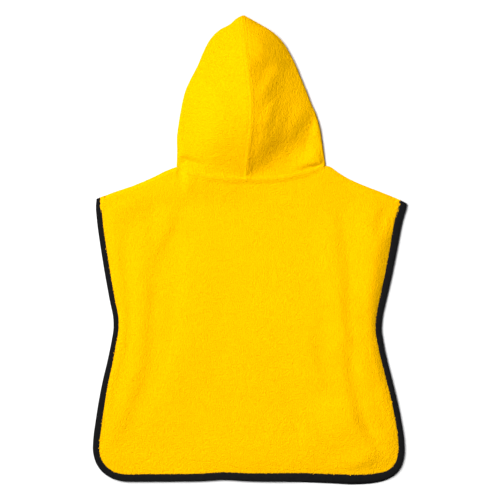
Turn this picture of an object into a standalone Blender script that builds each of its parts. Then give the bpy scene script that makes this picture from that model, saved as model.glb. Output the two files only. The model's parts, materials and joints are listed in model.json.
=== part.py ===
"""Toddler's hooded bath poncho of terry cloth, lying flat on its front with the back up.

Six pieces: a back and a front panel, two hood halves sewn along the middle of the head, and the
black bias binding round the sides and hem of each panel. The panels lie on each other. The hood
stands up a little along its seam like a low tent, is folded round at both sides, and its face
opening lies underneath.

X runs across the poncho, +Y points to the tip of the hood, +Z up. The origin is on the ground
below the middle of the outline. Sizes in the constants and tables are millimetres; new_object
turns the finished meshes into metres.
"""

import math

import bmesh
import bpy
import numpy as np

MM = 0.001

# Cloth and seams
TERRY = 2.5  # thickness of the terry
TERRY_PRESSED = 1.4  # the same cloth where the binding grips it
TERRY_AT_SHOULDER = 1.5  # pressed in the shoulder seam
TAPE = 0.8  # thickness of the binding cloth
GAP = 0.3  # between pieces that touch
EDGE_INSET = 1.2  # from the outer edge of the binding to the cloth's cut edge inside it
TAPE_ROUND = 1.0  # the binding's outer edge is rounded over this width
FULL_INSIDE = 4.0  # the cloth has its full thickness this far inside the binding
HALF = TERRY / 2

# Levels of the two layers
BINDING_TALL = TERRY_PRESSED + 2 * (GAP + TAPE)
FRONT_LEVEL = HALF  # middle of the front panel's cloth
BACK_LEVEL = TERRY + GAP + HALF
FRONT_BINDING_LEVEL = BINDING_TALL / 2
BACK_BINDING_LEVEL = BINDING_TALL + GAP + BINDING_TALL / 2
SETTLE = 22.0  # the back panel comes down from its binding to the front panel over this length
FOLD_CLEAR = 16.0  # folds of the back panel fade out over this length towards the binding

# Outline of the back panel at the outer edge of its binding: height, left edge, right edge
SIDE_ROWS = (
    (84, -296.3, 302.3),
    (58, -294.4, 294.8),
    (0, -286.5, 283.4),
    (-58, -276.9, 271.7),
    (-96, -269.9, 262.8),
    (-135, -262.6, 254.9),
    (-154, -262.6, 254.1),
    (-173, -265.7, 256.7),
    (-212, -273.6, 264.7),
    (-250, -282.7, 274.4),
    (-289, -290.4, 283.8),
    (-328, -296.6, 291.7),
    (-362, -301.2, 297.0),
)
TIP_LEFT = (-295.5, 97.3)  # outer ends of the shoulders
TIP_RIGHT = (302.0, 88.8)
# Rounded hem corners: where the curve leaves the side and meets the hem, and its two handles
CORNER_LEFT = {"side": (-302.3, -380.0), "hem": (-231.0, -447.0), "down": 41.0, "across": 43.0}
CORNER_RIGHT = {"side": (298.3, -381.0), "hem": (202.0, -448.0), "down": 60.0, "across": 60.0}
# Hem between the corners: x, y
HEM_ROWS = (
    (-150, -446.6),
    (-95, -446.0),
    (-50, -443.6),
    (-5, -446.0),
    (58, -446.9),
    (104, -446.3),
    (150, -446.5),
)
# Shoulders from the tip to the neck: x, y
SHOULDER_LEFT = ((-260, 111.6), (-225, 123.4), (-191, 137.6), (-156, 154.3))
SHOULDER_RIGHT = ((281, 99.8), (258, 108.7), (223, 122.4), (189, 137.8), (166, 151.8), (154, 160.2))
# Seam between the back panel and the hood: x, y
NECK_ROWS = (
    (-141, 163.8),
    (-125, 151.3),
    (-96, 144.5),
    (-58, 138.7),
    (-6, 136.4),
    (48, 138.7),
    (96, 146.4),
    (135, 157.2),
    (146.8, 164.6),
)
FRONT_NECK_DROP = 80.0  # the front neckline's lowest point below the ends of the shoulders
FRONT_NECK_POWER = 2.0
NECK_FADE = 28.0  # the back panel comes down from the lifted neck seam over this length

# Binding along the edge, from the left shoulder (0) over the hem to the right shoulder (1):
# share of the way, visible width, how far the front panel's edge stands out beyond the back's
BINDING_ROWS = (
    (0.00, 8.5, -1.0),
    (0.15, 10.0, -1.0),
    (0.25, 9.5, -1.0),
    (0.32, 12.0, -1.0),
    (0.38, 14.0, -1.0),
    (0.52, 14.0, -0.5),
    (0.58, 14.5, 2.0),
    (0.62, 15.0, 4.5),
    (0.66, 14.0, 3.0),
    (0.71, 12.0, -0.5),
    (0.82, 12.0, -1.0),
    (0.90, 14.0, -0.5),
    (1.00, 15.5, 0.0),
)
MITRE = 25.0  # near its ends the binding's cross-section turns to follow the shoulder

# Hood outline: height, left edge, right edge
HOOD_ROWS = (
    (163.8, -141.0, 146.8),
    (192.7, -139.9, 142.0),
    (215.8, -140.3, 139.9),
    (238.9, -137.6, 135.8),
    (262.0, -133.9, 128.7),
    (285.2, -129.5, 119.1),
    (308.3, -123.3, 110.4),
    (331.4, -112.7, 100.2),
    (354.5, -100.6, 90.9),
    (377.7, -90.9, 79.4),
    (400.8, -79.4, 64.0),
    (412.3, -70.9, 53.6),
    (423.9, -58.2, 39.3),
    (435.5, -37.6, 19.8),
    (447.0, -24.1, -1.0),
)
HOOD_TIP = (-12.6, 452.5)
# Middle seam of the hood: height, x, middle of the cloth above, middle of the cloth below
SEAM_ROWS = (
    (136.4, -6.0, 6.5, HALF),
    (148.0, -5.8, 12.0, HALF),
    (173.0, -3.9, 25.0, HALF),
    (205.0, -0.6, 40.0, HALF),
    (240.0, 4.0, 51.0, HALF),
    (285.0, 4.2, 54.0, HALF),
    (347.0, -1.9, 51.0, HALF),
    (390.0, -6.6, 43.0, HALF),
    (420.0, -9.3, 31.0, HALF),
    (437.0, -11.0, 21.0, 1.4),
    (446.0, -12.0, 13.0, 2.8),
    (HOOD_TIP[1] - HALF, HOOD_TIP[0], 7.0, 7.0),
)
# Radius of the fold at the hood's sides: height, radius
BEND_ROWS = ((163.8, 1.4), (176.0, 3.0), (200.0, 6.0), (415.0, 6.0), (440.0, 4.0), (451.25, 3.0))
ROUND_TIP_FROM = 415.0  # above this height the section turns from a tent into an ellipse
FOLD_TURN = math.radians(10)  # half of that ellipse's angle that belongs to the side fold
SEAM_FLAT, SIDE_FLAT = 0.08, 0.12  # shares of the upper layer over which its folds fade out
TIP_UPRIGHT = 0.8  # above this share of the hood the lower layer's thickness runs straight up
# Face opening: lowest and highest point, half of its width
FACE_LOW, FACE_HIGH, FACE_HALF = 84.5, 372.0, 83.0
FACE_ROUND = 0.6  # below 1 the ends of the opening are blunt

# Folds: height, reach to the left and to the right of the crest, and the crest from its upper
# end down as x, y, share of the height. A negative height is a trough.
BACK_FOLDS = (
    (3.0, 11, 12, ((-266, 78, 0), (-258, 29, 1), (-254, -29, 1), (-249, -87, 1), (-249, -137, 0.9),
                   (-254, -191, 0.6), (-268, -241, 0))),
    (3.6, 17, 15, ((-173, 77, 0), (-193, 29, 0.8), (-208, -29, 1), (-208, -106, 1), (-212, -168, 1),
                   (-218, -214, 0.9), (-231, -260, 0.8), (-243, -306, 0.6), (-256, -345, 0))),
    (3.0, 31, 77, ((-106, 80, 0), (-106, 0, 0.7), (-106, -96, 1), (-116, -154, 1), (-131, -214, 1),
                   (-150, -260, 0.8), (-173, -306, 0.6), (-202, -353, 0))),
    (8.0, 28, 22, ((238, 62, 0), (231, -10, 0.9), (227, -60, 1), (220, -114, 1), (218, -152, 1),
                   (225, -206, 0.8), (233, -252, 0.6), (239, -306, 0.4), (258, -364, 0))),
    (2.8, 38, 17, ((144, 77, 0), (154, -10, 0.9), (160, -96, 1), (168, -173, 1), (170, -250, 0.9),
                   (179, -306, 0.6), (196, -347, 0))),
    (1.2, 23, 15, ((106, -154, 0), (108, -206, 1), (119, -241, 0.8), (135, -270, 0))),
)
HOOD_FOLDS_LEFT = ((-3.0, 9, 9, ((-138, 172, 0.4), (-120, 184, 1), (-104, 178, 1), (-84, 169, 0))),)
HOOD_FOLDS_RIGHT = (
    (3.0, 20, 20, ((12, 445, 0), (17, 420, 1), (22, 385, 1), (16, 340, 0))),
    (3.0, 14, 14, ((66, 378, 0), (50, 345, 1), (33, 312, 1), (22, 285, 0))),
    (2.5, 14, 14, ((44, 300, 0), (37, 268, 1), (26, 235, 1), (10, 203, 0))),
    (4.0, 16, 16, ((116, 290, 0), (100, 257, 1), (82, 219, 1), (62, 184, 0))),
    (3.0, 14, 12, ((130, 255, 0), (133, 232, 1), (133, 200, 1), (128, 178, 0))),
    (-2.5, 12, 12, ((76, 335, 0), (60, 312, 1), (42, 288, 1), (30, 268, 0))),
    (-2.5, 13, 13, ((84, 285, 0), (73, 260, 1), (62, 232, 1), (48, 205, 0))),
    (-3.0, 8, 9, ((84, 160, 0), (102, 162, 0.8), (128, 166, 1), (140, 168, 0.6))),
)

# Grid counts
SIDE_STEPS = 24  # rows of the back panel
SHOULDER_STEPS = 10
FRONT_SIDE_STEPS = 17
FRONT_SHOULDER_STEPS = 5
HOOD_TOP_STEPS = 12  # from the seam to the side fold; the back neckline has the same points
HOOD_BEND_STEPS = 4
HOOD_UNDER_STEPS = 7  # from the fold to the face edge; the front neckline has the same points
HOOD_ROW_STEPS = 22
CURVE_SPACING = 2.0

YELLOW = (0.98, 0.62, 0.0, 1.0)
BLACK = (0.010, 0.010, 0.011, 1.0)


# ---------------------------------------------------------------- curves and folds


def lengths(curve):
    """Length along a curve up to each of its points; only the first two columns count."""
    return np.concatenate(([0.0], np.cumsum(np.linalg.norm(np.diff(curve[:, :2], axis=0), axis=1))))


def smooth_curve(points, spacing=CURVE_SPACING):
    """Closely spaced points on a smooth curve through the given ones, with any further columns."""
    points = np.array(points, float)
    knots = lengths(points)
    slopes = np.gradient(points, knots, axis=0)
    at = np.linspace(0.0, knots[-1], max(2, int(knots[-1] / spacing)))
    k = np.clip(np.searchsorted(knots, at, side="right") - 1, 0, len(knots) - 2)
    span = (knots[k + 1] - knots[k])[:, None]
    s = (at - knots[k])[:, None] / span
    return (
        (2 * s**3 - 3 * s**2 + 1) * points[k]
        + (s**3 - 2 * s**2 + s) * span * slopes[k]
        + (3 * s**2 - 2 * s**3) * points[k + 1]
        + (s**3 - s**2) * span * slopes[k + 1]
    )


def at_shares(curve, shares):
    """Points of a curve at shares of its length."""
    along = lengths(curve)
    wanted = np.asarray(shares) * along[-1]
    return np.stack([np.interp(wanted, along, column) for column in curve.T], axis=-1)


def bezier(a, b, c, d, steps=40):
    t = np.linspace(0.0, 1.0, steps + 1)[:, None]
    a, b, c, d = (np.array(p, float) for p in (a, b, c, d))
    return (1 - t) ** 3 * a + 3 * (1 - t) ** 2 * t * b + 3 * (1 - t) * t**2 * c + t**3 * d


def table(rows, column, at):
    """A column of a table, read between its rows; the first column rises."""
    return np.interp(at, [row[0] for row in rows], [row[column] for row in rows])


def smooth_step(value):
    value = np.clip(value, 0.0, 1.0)
    return value * value * (3 - 2 * value)


def distance_to(curve, x, y):
    """Distance from a point to a curve, the nearest stretch, the share of it and the side."""
    start, end = curve[:-1], curve[1:]
    run = end[:, :2] - start[:, :2]
    to_point = np.array([x, y]) - start[:, :2]
    share = np.clip((to_point * run).sum(1) / (run * run).sum(1), 0.0, 1.0)
    off = to_point - share[:, None] * run
    distance = np.hypot(off[:, 0], off[:, 1])
    k = int(distance.argmin())
    side = run[k, 0] * off[k, 1] - run[k, 1] * off[k, 0]
    return distance[k], k, share[k], side


class Fold:
    """A soft ridge or trough along a crest line that runs down the cloth."""

    def __init__(self, height, left, right, crest):
        self.height = height
        self.left = left
        self.right = right
        self.crest = smooth_curve(crest, 6.0)

    def lift(self, x, y):
        distance, k, share, side = distance_to(self.crest, x, y)
        # Going down the crest, the left-hand side of the way is the right of the cloth.
        ratio = distance / (self.right if side > 0 else self.left)
        if ratio >= 1.0:
            return 0.0
        strength = self.crest[k, 2] + (self.crest[k + 1, 2] - self.crest[k, 2]) * share
        return self.height * strength * (1 - ratio**2) ** 2


def lift_of(folds, x, y):
    return sum(fold.lift(x, y) for fold in folds)


# ---------------------------------------------------------------- outline of the panels


def corner(data, outward):
    """Rounded hem corner from the side to the hem; outward is -1 on the left and 1 on the right."""
    side, hem = data["side"], data["hem"]
    below = (side[0], side[1] - data["down"])
    beside = (hem[0] + outward * data["across"], hem[1])
    return bezier(side, below, beside, hem)


def panel_edge():
    """Outer edge of the back panel's binding, from the left shoulder over the hem to the right.

    Also gives the two points of the curve where the panel's sides turn into its hem.
    """
    left = smooth_curve([TIP_LEFT, *((row[1], row[0]) for row in SIDE_ROWS), CORNER_LEFT["side"]])
    right = smooth_curve([TIP_RIGHT, *((row[2], row[0]) for row in SIDE_ROWS), CORNER_RIGHT["side"]])
    right = right[::-1]
    hem = smooth_curve([CORNER_LEFT["hem"], *HEM_ROWS, CORNER_RIGHT["hem"]])
    left_corner = corner(CORNER_LEFT, -1)
    right_corner = corner(CORNER_RIGHT, 1)[::-1]
    curve = np.concatenate((left, left_corner[1:], hem[1:], right_corner[1:], right[1:]))
    left_turn = len(left) - 1 + len(left_corner) // 2
    right_turn = len(curve) - len(right) - len(right_corner) // 2
    return curve, left_turn, right_turn


class Edge:
    """Stations along the panel's edge, with the direction in which the cloth lies from each."""

    def __init__(self, side_steps, hem_shares, front=False):
        curve, left_turn, right_turn = panel_edge()
        along = lengths(curve)
        first, last = along[left_turn], along[right_turn]
        side = np.linspace(0.0, 1.0, side_steps + 1)
        hem = first + np.asarray(hem_shares)[1:] * (last - first)
        stations = np.concatenate((side * first, hem, last + side[1:] * (along[-1] - last)))
        self.share = stations / along[-1]
        self.width = table(BINDING_ROWS, 1, self.share)
        self.points = at_shares(curve, self.share)
        tangents = np.gradient(curve, along, axis=0)
        tangent = at_shares(np.concatenate((curve, tangents), axis=1), self.share)[:, 2:]
        tangent /= np.linalg.norm(tangent, axis=1)[:, None]
        self.inward = np.stack((-tangent[:, 1], tangent[:, 0]), axis=-1)
        self.turn_end(0, np.subtract(SHOULDER_LEFT[0], TIP_LEFT), stations)
        self.turn_end(-1, np.subtract(SHOULDER_RIGHT[0], TIP_RIGHT), along[-1] - stations)
        if front:
            self.points = self.at(-table(BINDING_ROWS, 2, self.share))

    def turn_end(self, end, shoulder, distance):
        """Let the inward direction follow the shoulder at one end, as a mitre."""
        direction = shoulder / np.linalg.norm(shoulder)
        mitred = direction / direction.dot(self.inward[end])
        weight = (1 - smooth_step(distance / MITRE))[:, None]
        self.inward = self.inward * (1 - weight) + mitred * weight

    def at(self, inset):
        """The stations moved in from the edge by one inset, or by one for each of them."""
        return self.points + self.inward * np.reshape(inset, (-1, 1))


def fold_start(side):
    """X where the lowest row of the hood starts to turn round at its side."""
    edge = HOOD_ROWS[0][1 if side < 0 else 2]
    return edge - side * (HALF + BEND_ROWS[0][1])


def neck_points(side):
    """Back neckline from the middle seam to the side fold, at the hood's own points."""
    curve = smooth_curve(NECK_ROWS)
    xs = np.linspace(SEAM_ROWS[0][1], fold_start(side), HOOD_TOP_STEPS + 1)
    return np.stack((xs, np.interp(xs, curve[:, 0], curve[:, 1])), axis=-1)


def front_neck_points(side):
    """Front neckline from the side fold to the middle, at the hood's own points."""
    share = np.linspace(0.0, 1.0, HOOD_UNDER_STEPS + 1)
    xs = fold_start(side) + (SEAM_ROWS[0][1] - fold_start(side)) * share
    drop = FRONT_NECK_DROP * (1 - (1 - share) ** FRONT_NECK_POWER)
    return np.stack((xs, neck_points(side)[-1, 1] - drop), axis=-1)


def upper_border(edge, neck, shoulder_steps):
    """Upper border of a panel: shoulder, neckline from fold to fold, shoulder."""
    ends = edge.at(edge.width + FULL_INSIDE)
    shares = np.linspace(0.0, 1.0, shoulder_steps + 1)
    neck = neck - (0.0, GAP / 2)
    left = at_shares(smooth_curve([ends[0], *SHOULDER_LEFT, neck[0]]), shares)
    right = at_shares(smooth_curve([ends[-1], *SHOULDER_RIGHT[1:], neck[-1]]), shares)
    return np.concatenate((left, neck[1:], right[::-1][1:]))


# ---------------------------------------------------------------- meshes


def new_object(name, bm, material, collection):
    """The finished mesh, from millimetres to metres, as an object with its faces pointing out."""
    bmesh.ops.scale(bm, vec=(MM, MM, MM), verts=bm.verts[:])
    bmesh.ops.recalc_face_normals(bm, faces=bm.faces[:])
    mesh = bpy.data.meshes.new(name)
    bm.to_mesh(mesh)
    bm.free()
    mesh.materials.append(material)
    mesh.shade_smooth()
    mesh.set_sharp_from_angle(angle=math.radians(40))
    collection.objects.link(bpy.data.objects.new(name, mesh))


def numbered_grid(columns, rows):
    """A grid whose vertices carry their column, and their row from the top."""
    bm = bmesh.new()
    column = bm.verts.layers.int.new("column")
    row = bm.verts.layers.int.new("row")
    bmesh.ops.create_grid(bm, x_segments=columns, y_segments=rows, size=1.0)
    for vert in bm.verts:
        vert[column] = round((vert.co.x + 1) / 2 * columns)
        vert[row] = round((1 - vert.co.y) / 2 * rows)
    return bm, column, row


def new_verts(made):
    return [item for item in made["geom"] if isinstance(item, bmesh.types.BMVert)]


def coons(top, bottom, left, right):
    """Points spanned between four border curves that share their corners, by column and row."""
    across = (lengths(top) / lengths(top)[-1])[:, None, None]
    down = np.linspace(0.0, 1.0, len(left))[None, :, None]
    between_ends = (1 - down) * top[:, None] + down * bottom[:, None]
    between_sides = (1 - across) * left[None] + across * right[None]
    left_corners = (1 - down) * top[0] + down * bottom[0]
    right_corners = (1 - down) * top[-1] + down * bottom[-1]
    return between_ends + between_sides - (1 - across) * left_corners - across * right_corners


def panel(name, edge, top, shoulder_steps, level, material, collection):
    """A panel of cloth: a grid inside the binding, drawn out twice into it and given its thickness.

    top is the upper border. level(x, y, place) gives the middle of the cloth and half of its
    thickness; place is "binding", "shoulder" or "open".
    """
    columns = len(top) - 1
    rows = (len(edge.points) - 1 - columns) // 2
    border = edge.at(edge.width + FULL_INSIDE)
    points = coons(top, border[rows : rows + columns + 1], border[: rows + 1], border[::-1][: rows + 1])
    bm, column, row = numbered_grid(columns, rows)
    station = bm.verts.layers.int.new("station")
    ring = bm.verts.layers.int.new("ring")
    upper = bm.verts.layers.float.new("upper")
    for vert in bm.verts:
        i, j = vert[column], vert[row]
        vert.co = (*points[i, j], 0.0)
        on_border = i in (0, columns) or j == rows
        along_border = j if i == 0 else rows + i if j == rows else 2 * rows + columns - j
        vert[station] = along_border if on_border else -1
    rim = [e for e in bm.edges if e.is_boundary and min(v[station] for v in e.verts) >= 0]
    for number, inset in enumerate((edge.width, EDGE_INSET), start=1):
        made = bmesh.ops.extrude_edge_only(bm, edges=rim)
        moved = edge.at(inset)
        for vert in new_verts(made):
            vert[ring] = number
            vert.co = (*moved[vert[station]], 0.0)
        edges = [item for item in made["geom"] if isinstance(item, bmesh.types.BMEdge)]
        rim = [e for e in edges if all(v[ring] == number for v in e.verts)]
    for vert in bm.verts:
        at_neck = shoulder_steps <= vert[column] <= columns - shoulder_steps
        place = "binding" if vert[ring] else "shoulder" if vert[row] == 0 and not at_neck else "open"
        middle, half = level(vert.co.x, vert.co.y, place)
        vert.co.z = middle - half
        vert[upper] = middle + half
    for vert in new_verts(bmesh.ops.extrude_face_region(bm, geom=bm.faces[:])):
        vert.co.z = vert[upper]
    new_object(name, bm, material, collection)


def front_level(_x, _y, place):
    if place == "binding":
        return FRONT_BINDING_LEVEL, TERRY_PRESSED / 2
    if place == "shoulder":
        return TERRY - TERRY_AT_SHOULDER / 2, TERRY_AT_SHOULDER / 2
    return FRONT_LEVEL, HALF


class BackLevel:
    """Height of the back panel's cloth: its folds, the lifted neck seam and the way to the binding."""

    def __init__(self, edge, neck):
        self.folds = [Fold(*row) for row in BACK_FOLDS]
        self.rim = edge.at(edge.width)
        self.neck = neck
        self.seam_x = SEAM_ROWS[0][1]
        self.seam_lift = SEAM_ROWS[0][2] - BACK_LEVEL

    def __call__(self, x, y, place):
        if place == "binding":
            return BACK_BINDING_LEVEL, TERRY_PRESSED / 2
        if place == "shoulder":
            return TERRY + GAP + TERRY_AT_SHOULDER / 2, TERRY_AT_SHOULDER / 2
        inside = distance_to(self.rim, x, y)[0]
        lifted = 1 - smooth_step((inside - FULL_INSIDE) / SETTLE)
        folds = lift_of(self.folds, x, y) * smooth_step((inside - FULL_INSIDE) / FOLD_CLEAR)
        fold_x = fold_start(-1 if x < self.seam_x else 1)
        at_seam = max(0.0, 1 - (x - self.seam_x) / (fold_x - self.seam_x))
        below = np.interp(x, self.neck[:, 0], self.neck[:, 1]) - y
        neck = self.seam_lift * at_seam * (1 - smooth_step(below / NECK_FADE))
        return BACK_LEVEL + (BACK_BINDING_LEVEL - BACK_LEVEL) * lifted + folds + neck, HALF


def binding(name, edge, level, material, collection):
    """Bias binding folded round the edge: a C-shaped section carried along the stations."""
    tall, inner = BINDING_TALL / 2, BINDING_TALL / 2 - TAPE
    stations = len(edge.points) - 1
    width = edge.width
    section = (
        (width, tall),
        (TAPE_ROUND, tall),
        (0.0, tall / 2),
        (0.0, -tall / 2),
        (TAPE_ROUND, -tall),
        (width, -tall),
        (width, -inner),
        (TAPE, -inner),
        (TAPE, inner),
        (width, inner),
    )
    places = [edge.at(inset) for inset, _height in section]
    bm, column, row = numbered_grid(stations, len(section))
    for vert in bm.verts:
        corner_number = vert[row] % len(section)
        vert.co = (*places[corner_number][vert[column]], level + section[corner_number][1])
    bmesh.ops.remove_doubles(bm, verts=bm.verts[:], dist=MM)
    bmesh.ops.holes_fill(bm, edges=[e for e in bm.edges if e.is_boundary], sides=0)
    new_object(name, bm, material, collection)


# ---------------------------------------------------------------- hood


class HoodHalf:
    """Middle surface of one hood half, from the seam over the side fold to the face edge."""

    def __init__(self, side, fold_rows):
        self.side = side
        self.folds = [Fold(*row) for row in fold_rows]
        self.neck = neck_points(side) + (0.0, GAP / 2)
        self.front_neck = front_neck_points(side) + (0.0, GAP / 2)
        left = [(row[1], row[0]) for row in HOOD_ROWS]
        right = [(row[2], row[0]) for row in reversed(HOOD_ROWS)]
        outline = smooth_curve([*left, HOOD_TIP, *right])
        tangent = np.gradient(outline, axis=0)
        tangent /= np.linalg.norm(tangent, axis=1)[:, None]
        middle = outline + HALF * np.stack((tangent[:, 1], -tangent[:, 0]), axis=-1)
        top = int(middle[:, 1].argmax())
        self.outline = middle[: top + 1] if side < 0 else middle[top:][::-1]
        self.seam = smooth_curve(SEAM_ROWS)
        self.tip = self.seam[-1, 0]

    def seam_x(self, y):
        return np.interp(y, self.seam[:, 0], self.seam[:, 1])

    def above(self, y):
        return np.interp(y, self.seam[:, 0], self.seam[:, 2])

    def below(self, y):
        return max(HALF, np.interp(y, self.seam[:, 0], self.seam[:, 3]))

    def reach(self, y):
        """Distance from the seam out to the side fold."""
        return abs(np.interp(y, self.outline[:, 1], self.outline[:, 0]) - self.seam_x(y))

    def face_reach(self, y):
        """Distance from the middle to the face edge, or to the lower seam above the opening."""
        share = (y - FACE_LOW) / (FACE_HIGH - FACE_LOW)
        if not 0.0 < share < 1.0:
            return GAP / 2
        return max(GAP / 2, FACE_HALF * math.sin(math.pi * share) ** FACE_ROUND)

    def row(self, rise):
        """The points of one row; rise is 0 at the neck and 1 at the tip."""

        def raised(y):
            return y + (self.tip - y) * rise

        seam_y, fold_y = raised(self.neck[0, 1]), raised(self.neck[-1, 1])
        reach, low, high = self.reach(fold_y), self.below(fold_y), self.above(seam_y)
        bend = min(table(BEND_ROWS, 1, fold_y), reach / 2, (high - low) / 2)
        slope = math.atan2(max(high - low - 2 * bend, 0.0), max(reach - bend, GAP))
        tip_share = smooth_step((fold_y - ROUND_TIP_FROM) / (self.tip - ROUND_TIP_FROM))
        centre = low + bend
        tent_end = centre + bend * math.cos(slope)
        face = self.face_reach(raised(self.front_neck[-1, 1]))
        points = []
        for share, neck in zip(np.linspace(0.0, 1.0, HOOD_TOP_STEPS + 1), self.neck):
            y = raised(neck[1])
            out = (self.reach(y) - bend + bend * math.sin(slope)) * share
            fade = smooth_step(share / SEAM_FLAT) * smooth_step((1 - share) / SIDE_FLAT)
            tent = tent_end + (high - tent_end) * (1 - share)
            folds = fade * lift_of(self.folds, self.seam_x(y) + self.side * out, y)
            turn = math.pi / 2 - (math.pi / 2 - FOLD_TURN) * share
            points.append((out, y, max(tent + folds, min(tent, BACK_LEVEL)), turn))
        for share in np.linspace(0.0, 1.0, HOOD_BEND_STEPS + 1)[1:]:
            angle = math.pi / 2 - slope - (math.pi - slope) * share
            out = reach - bend + bend * math.cos(angle)
            points.append((out, fold_y, centre + bend * math.sin(angle), FOLD_TURN * (1 - 2 * share)))
        for share, neck in list(zip(np.linspace(0.0, 1.0, HOOD_UNDER_STEPS + 1), self.front_neck))[1:]:
            y = raised(neck[1])
            out = (reach - bend) * (1 - share) + face * share
            turn = -FOLD_TURN - (math.pi / 2 - FOLD_TURN) * share
            points.append((out, y, self.below(y), turn))
        row = []
        for out, y, height, turn in points:
            round_height = centre + ((high if turn > 0 else 2 * centre - low) - centre) * math.sin(turn)
            out += (reach * math.cos(turn) - out) * tip_share
            height += (round_height - height) * tip_share
            row.append((self.seam_x(y) + self.side * max(out, GAP / 2), y, height))
        if rise == 0.0:  # the lowest row lies on the two necklines
            under = HOOD_TOP_STEPS + HOOD_BEND_STEPS
            row[: HOOD_TOP_STEPS + 1] = [(x, y, p[2]) for (x, y), p in zip(self.neck, row)]
            row[under:] = [(x, y, p[2]) for (x, y), p in zip(self.front_neck, row[under:])]
            row[0] = (row[0][0] + self.side * GAP / 2, *row[0][1:])
            row[-1] = (row[-1][0] + self.side * GAP / 2, *row[-1][1:])
        return row

    def surface(self):
        """Middle points and outward directions, by row and column."""
        rises = (1 - np.cos(np.linspace(0.0, math.pi, HOOD_ROW_STEPS + 1))) / 2
        points = np.array([self.row(rise) for rise in rises])
        normals = np.cross(np.gradient(points, axis=1), np.gradient(points, axis=0)) * self.side
        normals[:, HOOD_TOP_STEPS + HOOD_BEND_STEPS + 1 :, :2] *= (rises < TIP_UPRIGHT)[:, None, None]
        normals[0, :, 1] = 0.0
        normals[:, 0, 0] = 0.0
        normals[:, -1, 0] = 0.0
        normals[-1] = (0.0, 1.0, 0.0)
        normals /= np.linalg.norm(normals, axis=2)[:, :, None]
        return points, normals


def hood_half(name, side, fold_rows, material, collection):
    half = HoodHalf(side, fold_rows)
    points, normals = half.surface()
    rows, columns = (count - 1 for count in points.shape[:2])
    walls = {offset: points + normals * offset for offset in (HALF, -HALF)}
    for wall in walls.values():
        for column in (0, columns):
            on_seam = np.abs(points[:, column, 0] - half.seam_x(points[:, column, 1])) < GAP
            seam = half.seam_x(wall[:, column, 1]) + side * GAP / 2
            wall[:, column, 0] = np.where(on_seam, seam, wall[:, column, 0])
        wall[-1, :, 0] = half.seam_x(half.tip) + side * GAP / 2
    bm, column, row = numbered_grid(columns, rows)
    for vert in bm.verts:
        vert.co = walls[HALF][rows - vert[row], vert[column]]
    for vert in new_verts(bmesh.ops.extrude_face_region(bm, geom=bm.faces[:])):
        vert.co = walls[-HALF][rows - vert[row], vert[column]]
    bmesh.ops.remove_doubles(bm, verts=bm.verts[:], dist=MM)
    new_object(name, bm, material, collection)


# ---------------------------------------------------------------- the poncho


def cloth_material(name, colour, roughness):
    material = bpy.data.materials.new(name)
    material.use_nodes = True
    shader = material.node_tree.nodes["Principled BSDF"]
    shader.inputs["Base Color"].default_value = colour
    shader.inputs["Roughness"].default_value = roughness
    shader.inputs["Metallic"].default_value = 0.0
    material.diffuse_color = colour
    return material


def main():
    for obj in list(bpy.data.objects):
        bpy.data.objects.remove(obj, do_unlink=True)
    collection = bpy.data.collections.new("hooded_bath_poncho")
    bpy.context.scene.collection.children.link(collection)

    left_neck, right_neck = neck_points(-1), neck_points(1)
    back_neck = np.concatenate((left_neck[::-1], right_neck[1:]))
    front_neck = np.concatenate((front_neck_points(-1), front_neck_points(1)[::-1][1:]))

    ends = Edge(1, (0.0, 1.0))
    back_top = upper_border(ends, back_neck, SHOULDER_STEPS)
    back_edge = Edge(SIDE_STEPS, lengths(back_top) / lengths(back_top)[-1])
    front_ends = Edge(1, (0.0, 1.0), front=True)
    front_top = upper_border(front_ends, front_neck, FRONT_SHOULDER_STEPS)
    front_edge = Edge(FRONT_SIDE_STEPS, lengths(front_top) / lengths(front_top)[-1], front=True)

    def terry(name):
        return cloth_material(name, YELLOW, 0.95)

    back_level = BackLevel(back_edge, back_neck)
    panel("back_panel", back_edge, back_top, SHOULDER_STEPS, back_level, terry("back terry"), collection)
    panel("front_panel", front_edge, front_top, FRONT_SHOULDER_STEPS, front_level, terry("front terry"),
          collection)
    for name, edge, level in (
        ("binding_back", back_edge, BACK_BINDING_LEVEL),
        ("binding_front", front_edge, FRONT_BINDING_LEVEL),
    ):
        binding(name, edge, level, cloth_material(name + " cotton", BLACK, 0.8), collection)
    hood_half("hood_left", -1, HOOD_FOLDS_LEFT, terry("left hood terry"), collection)
    hood_half("hood_right", 1, HOOD_FOLDS_RIGHT, terry("right hood terry"), collection)


main()
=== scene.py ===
"""Dresses the toddler's hooded bath poncho: terry cloth with its pile, bias binding and sewing.

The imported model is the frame. Every piece made here follows the form of the node that it replaces, with a
finer surface: the two panels, the two hood halves and the two bindings. Stitches and loose pile loops are
pieces of their own. Tables and cloth measures are millimetres, as a maker writes them, and new_piece turns
them into metres; the settings in the sidebar are in Blender's own metres.
"""

import json
import math
import random

import bmesh
import bpy
import numpy as np
from mathutils import Matrix, Vector, noise
from mathutils.bvhtree import BVHTree

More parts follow.
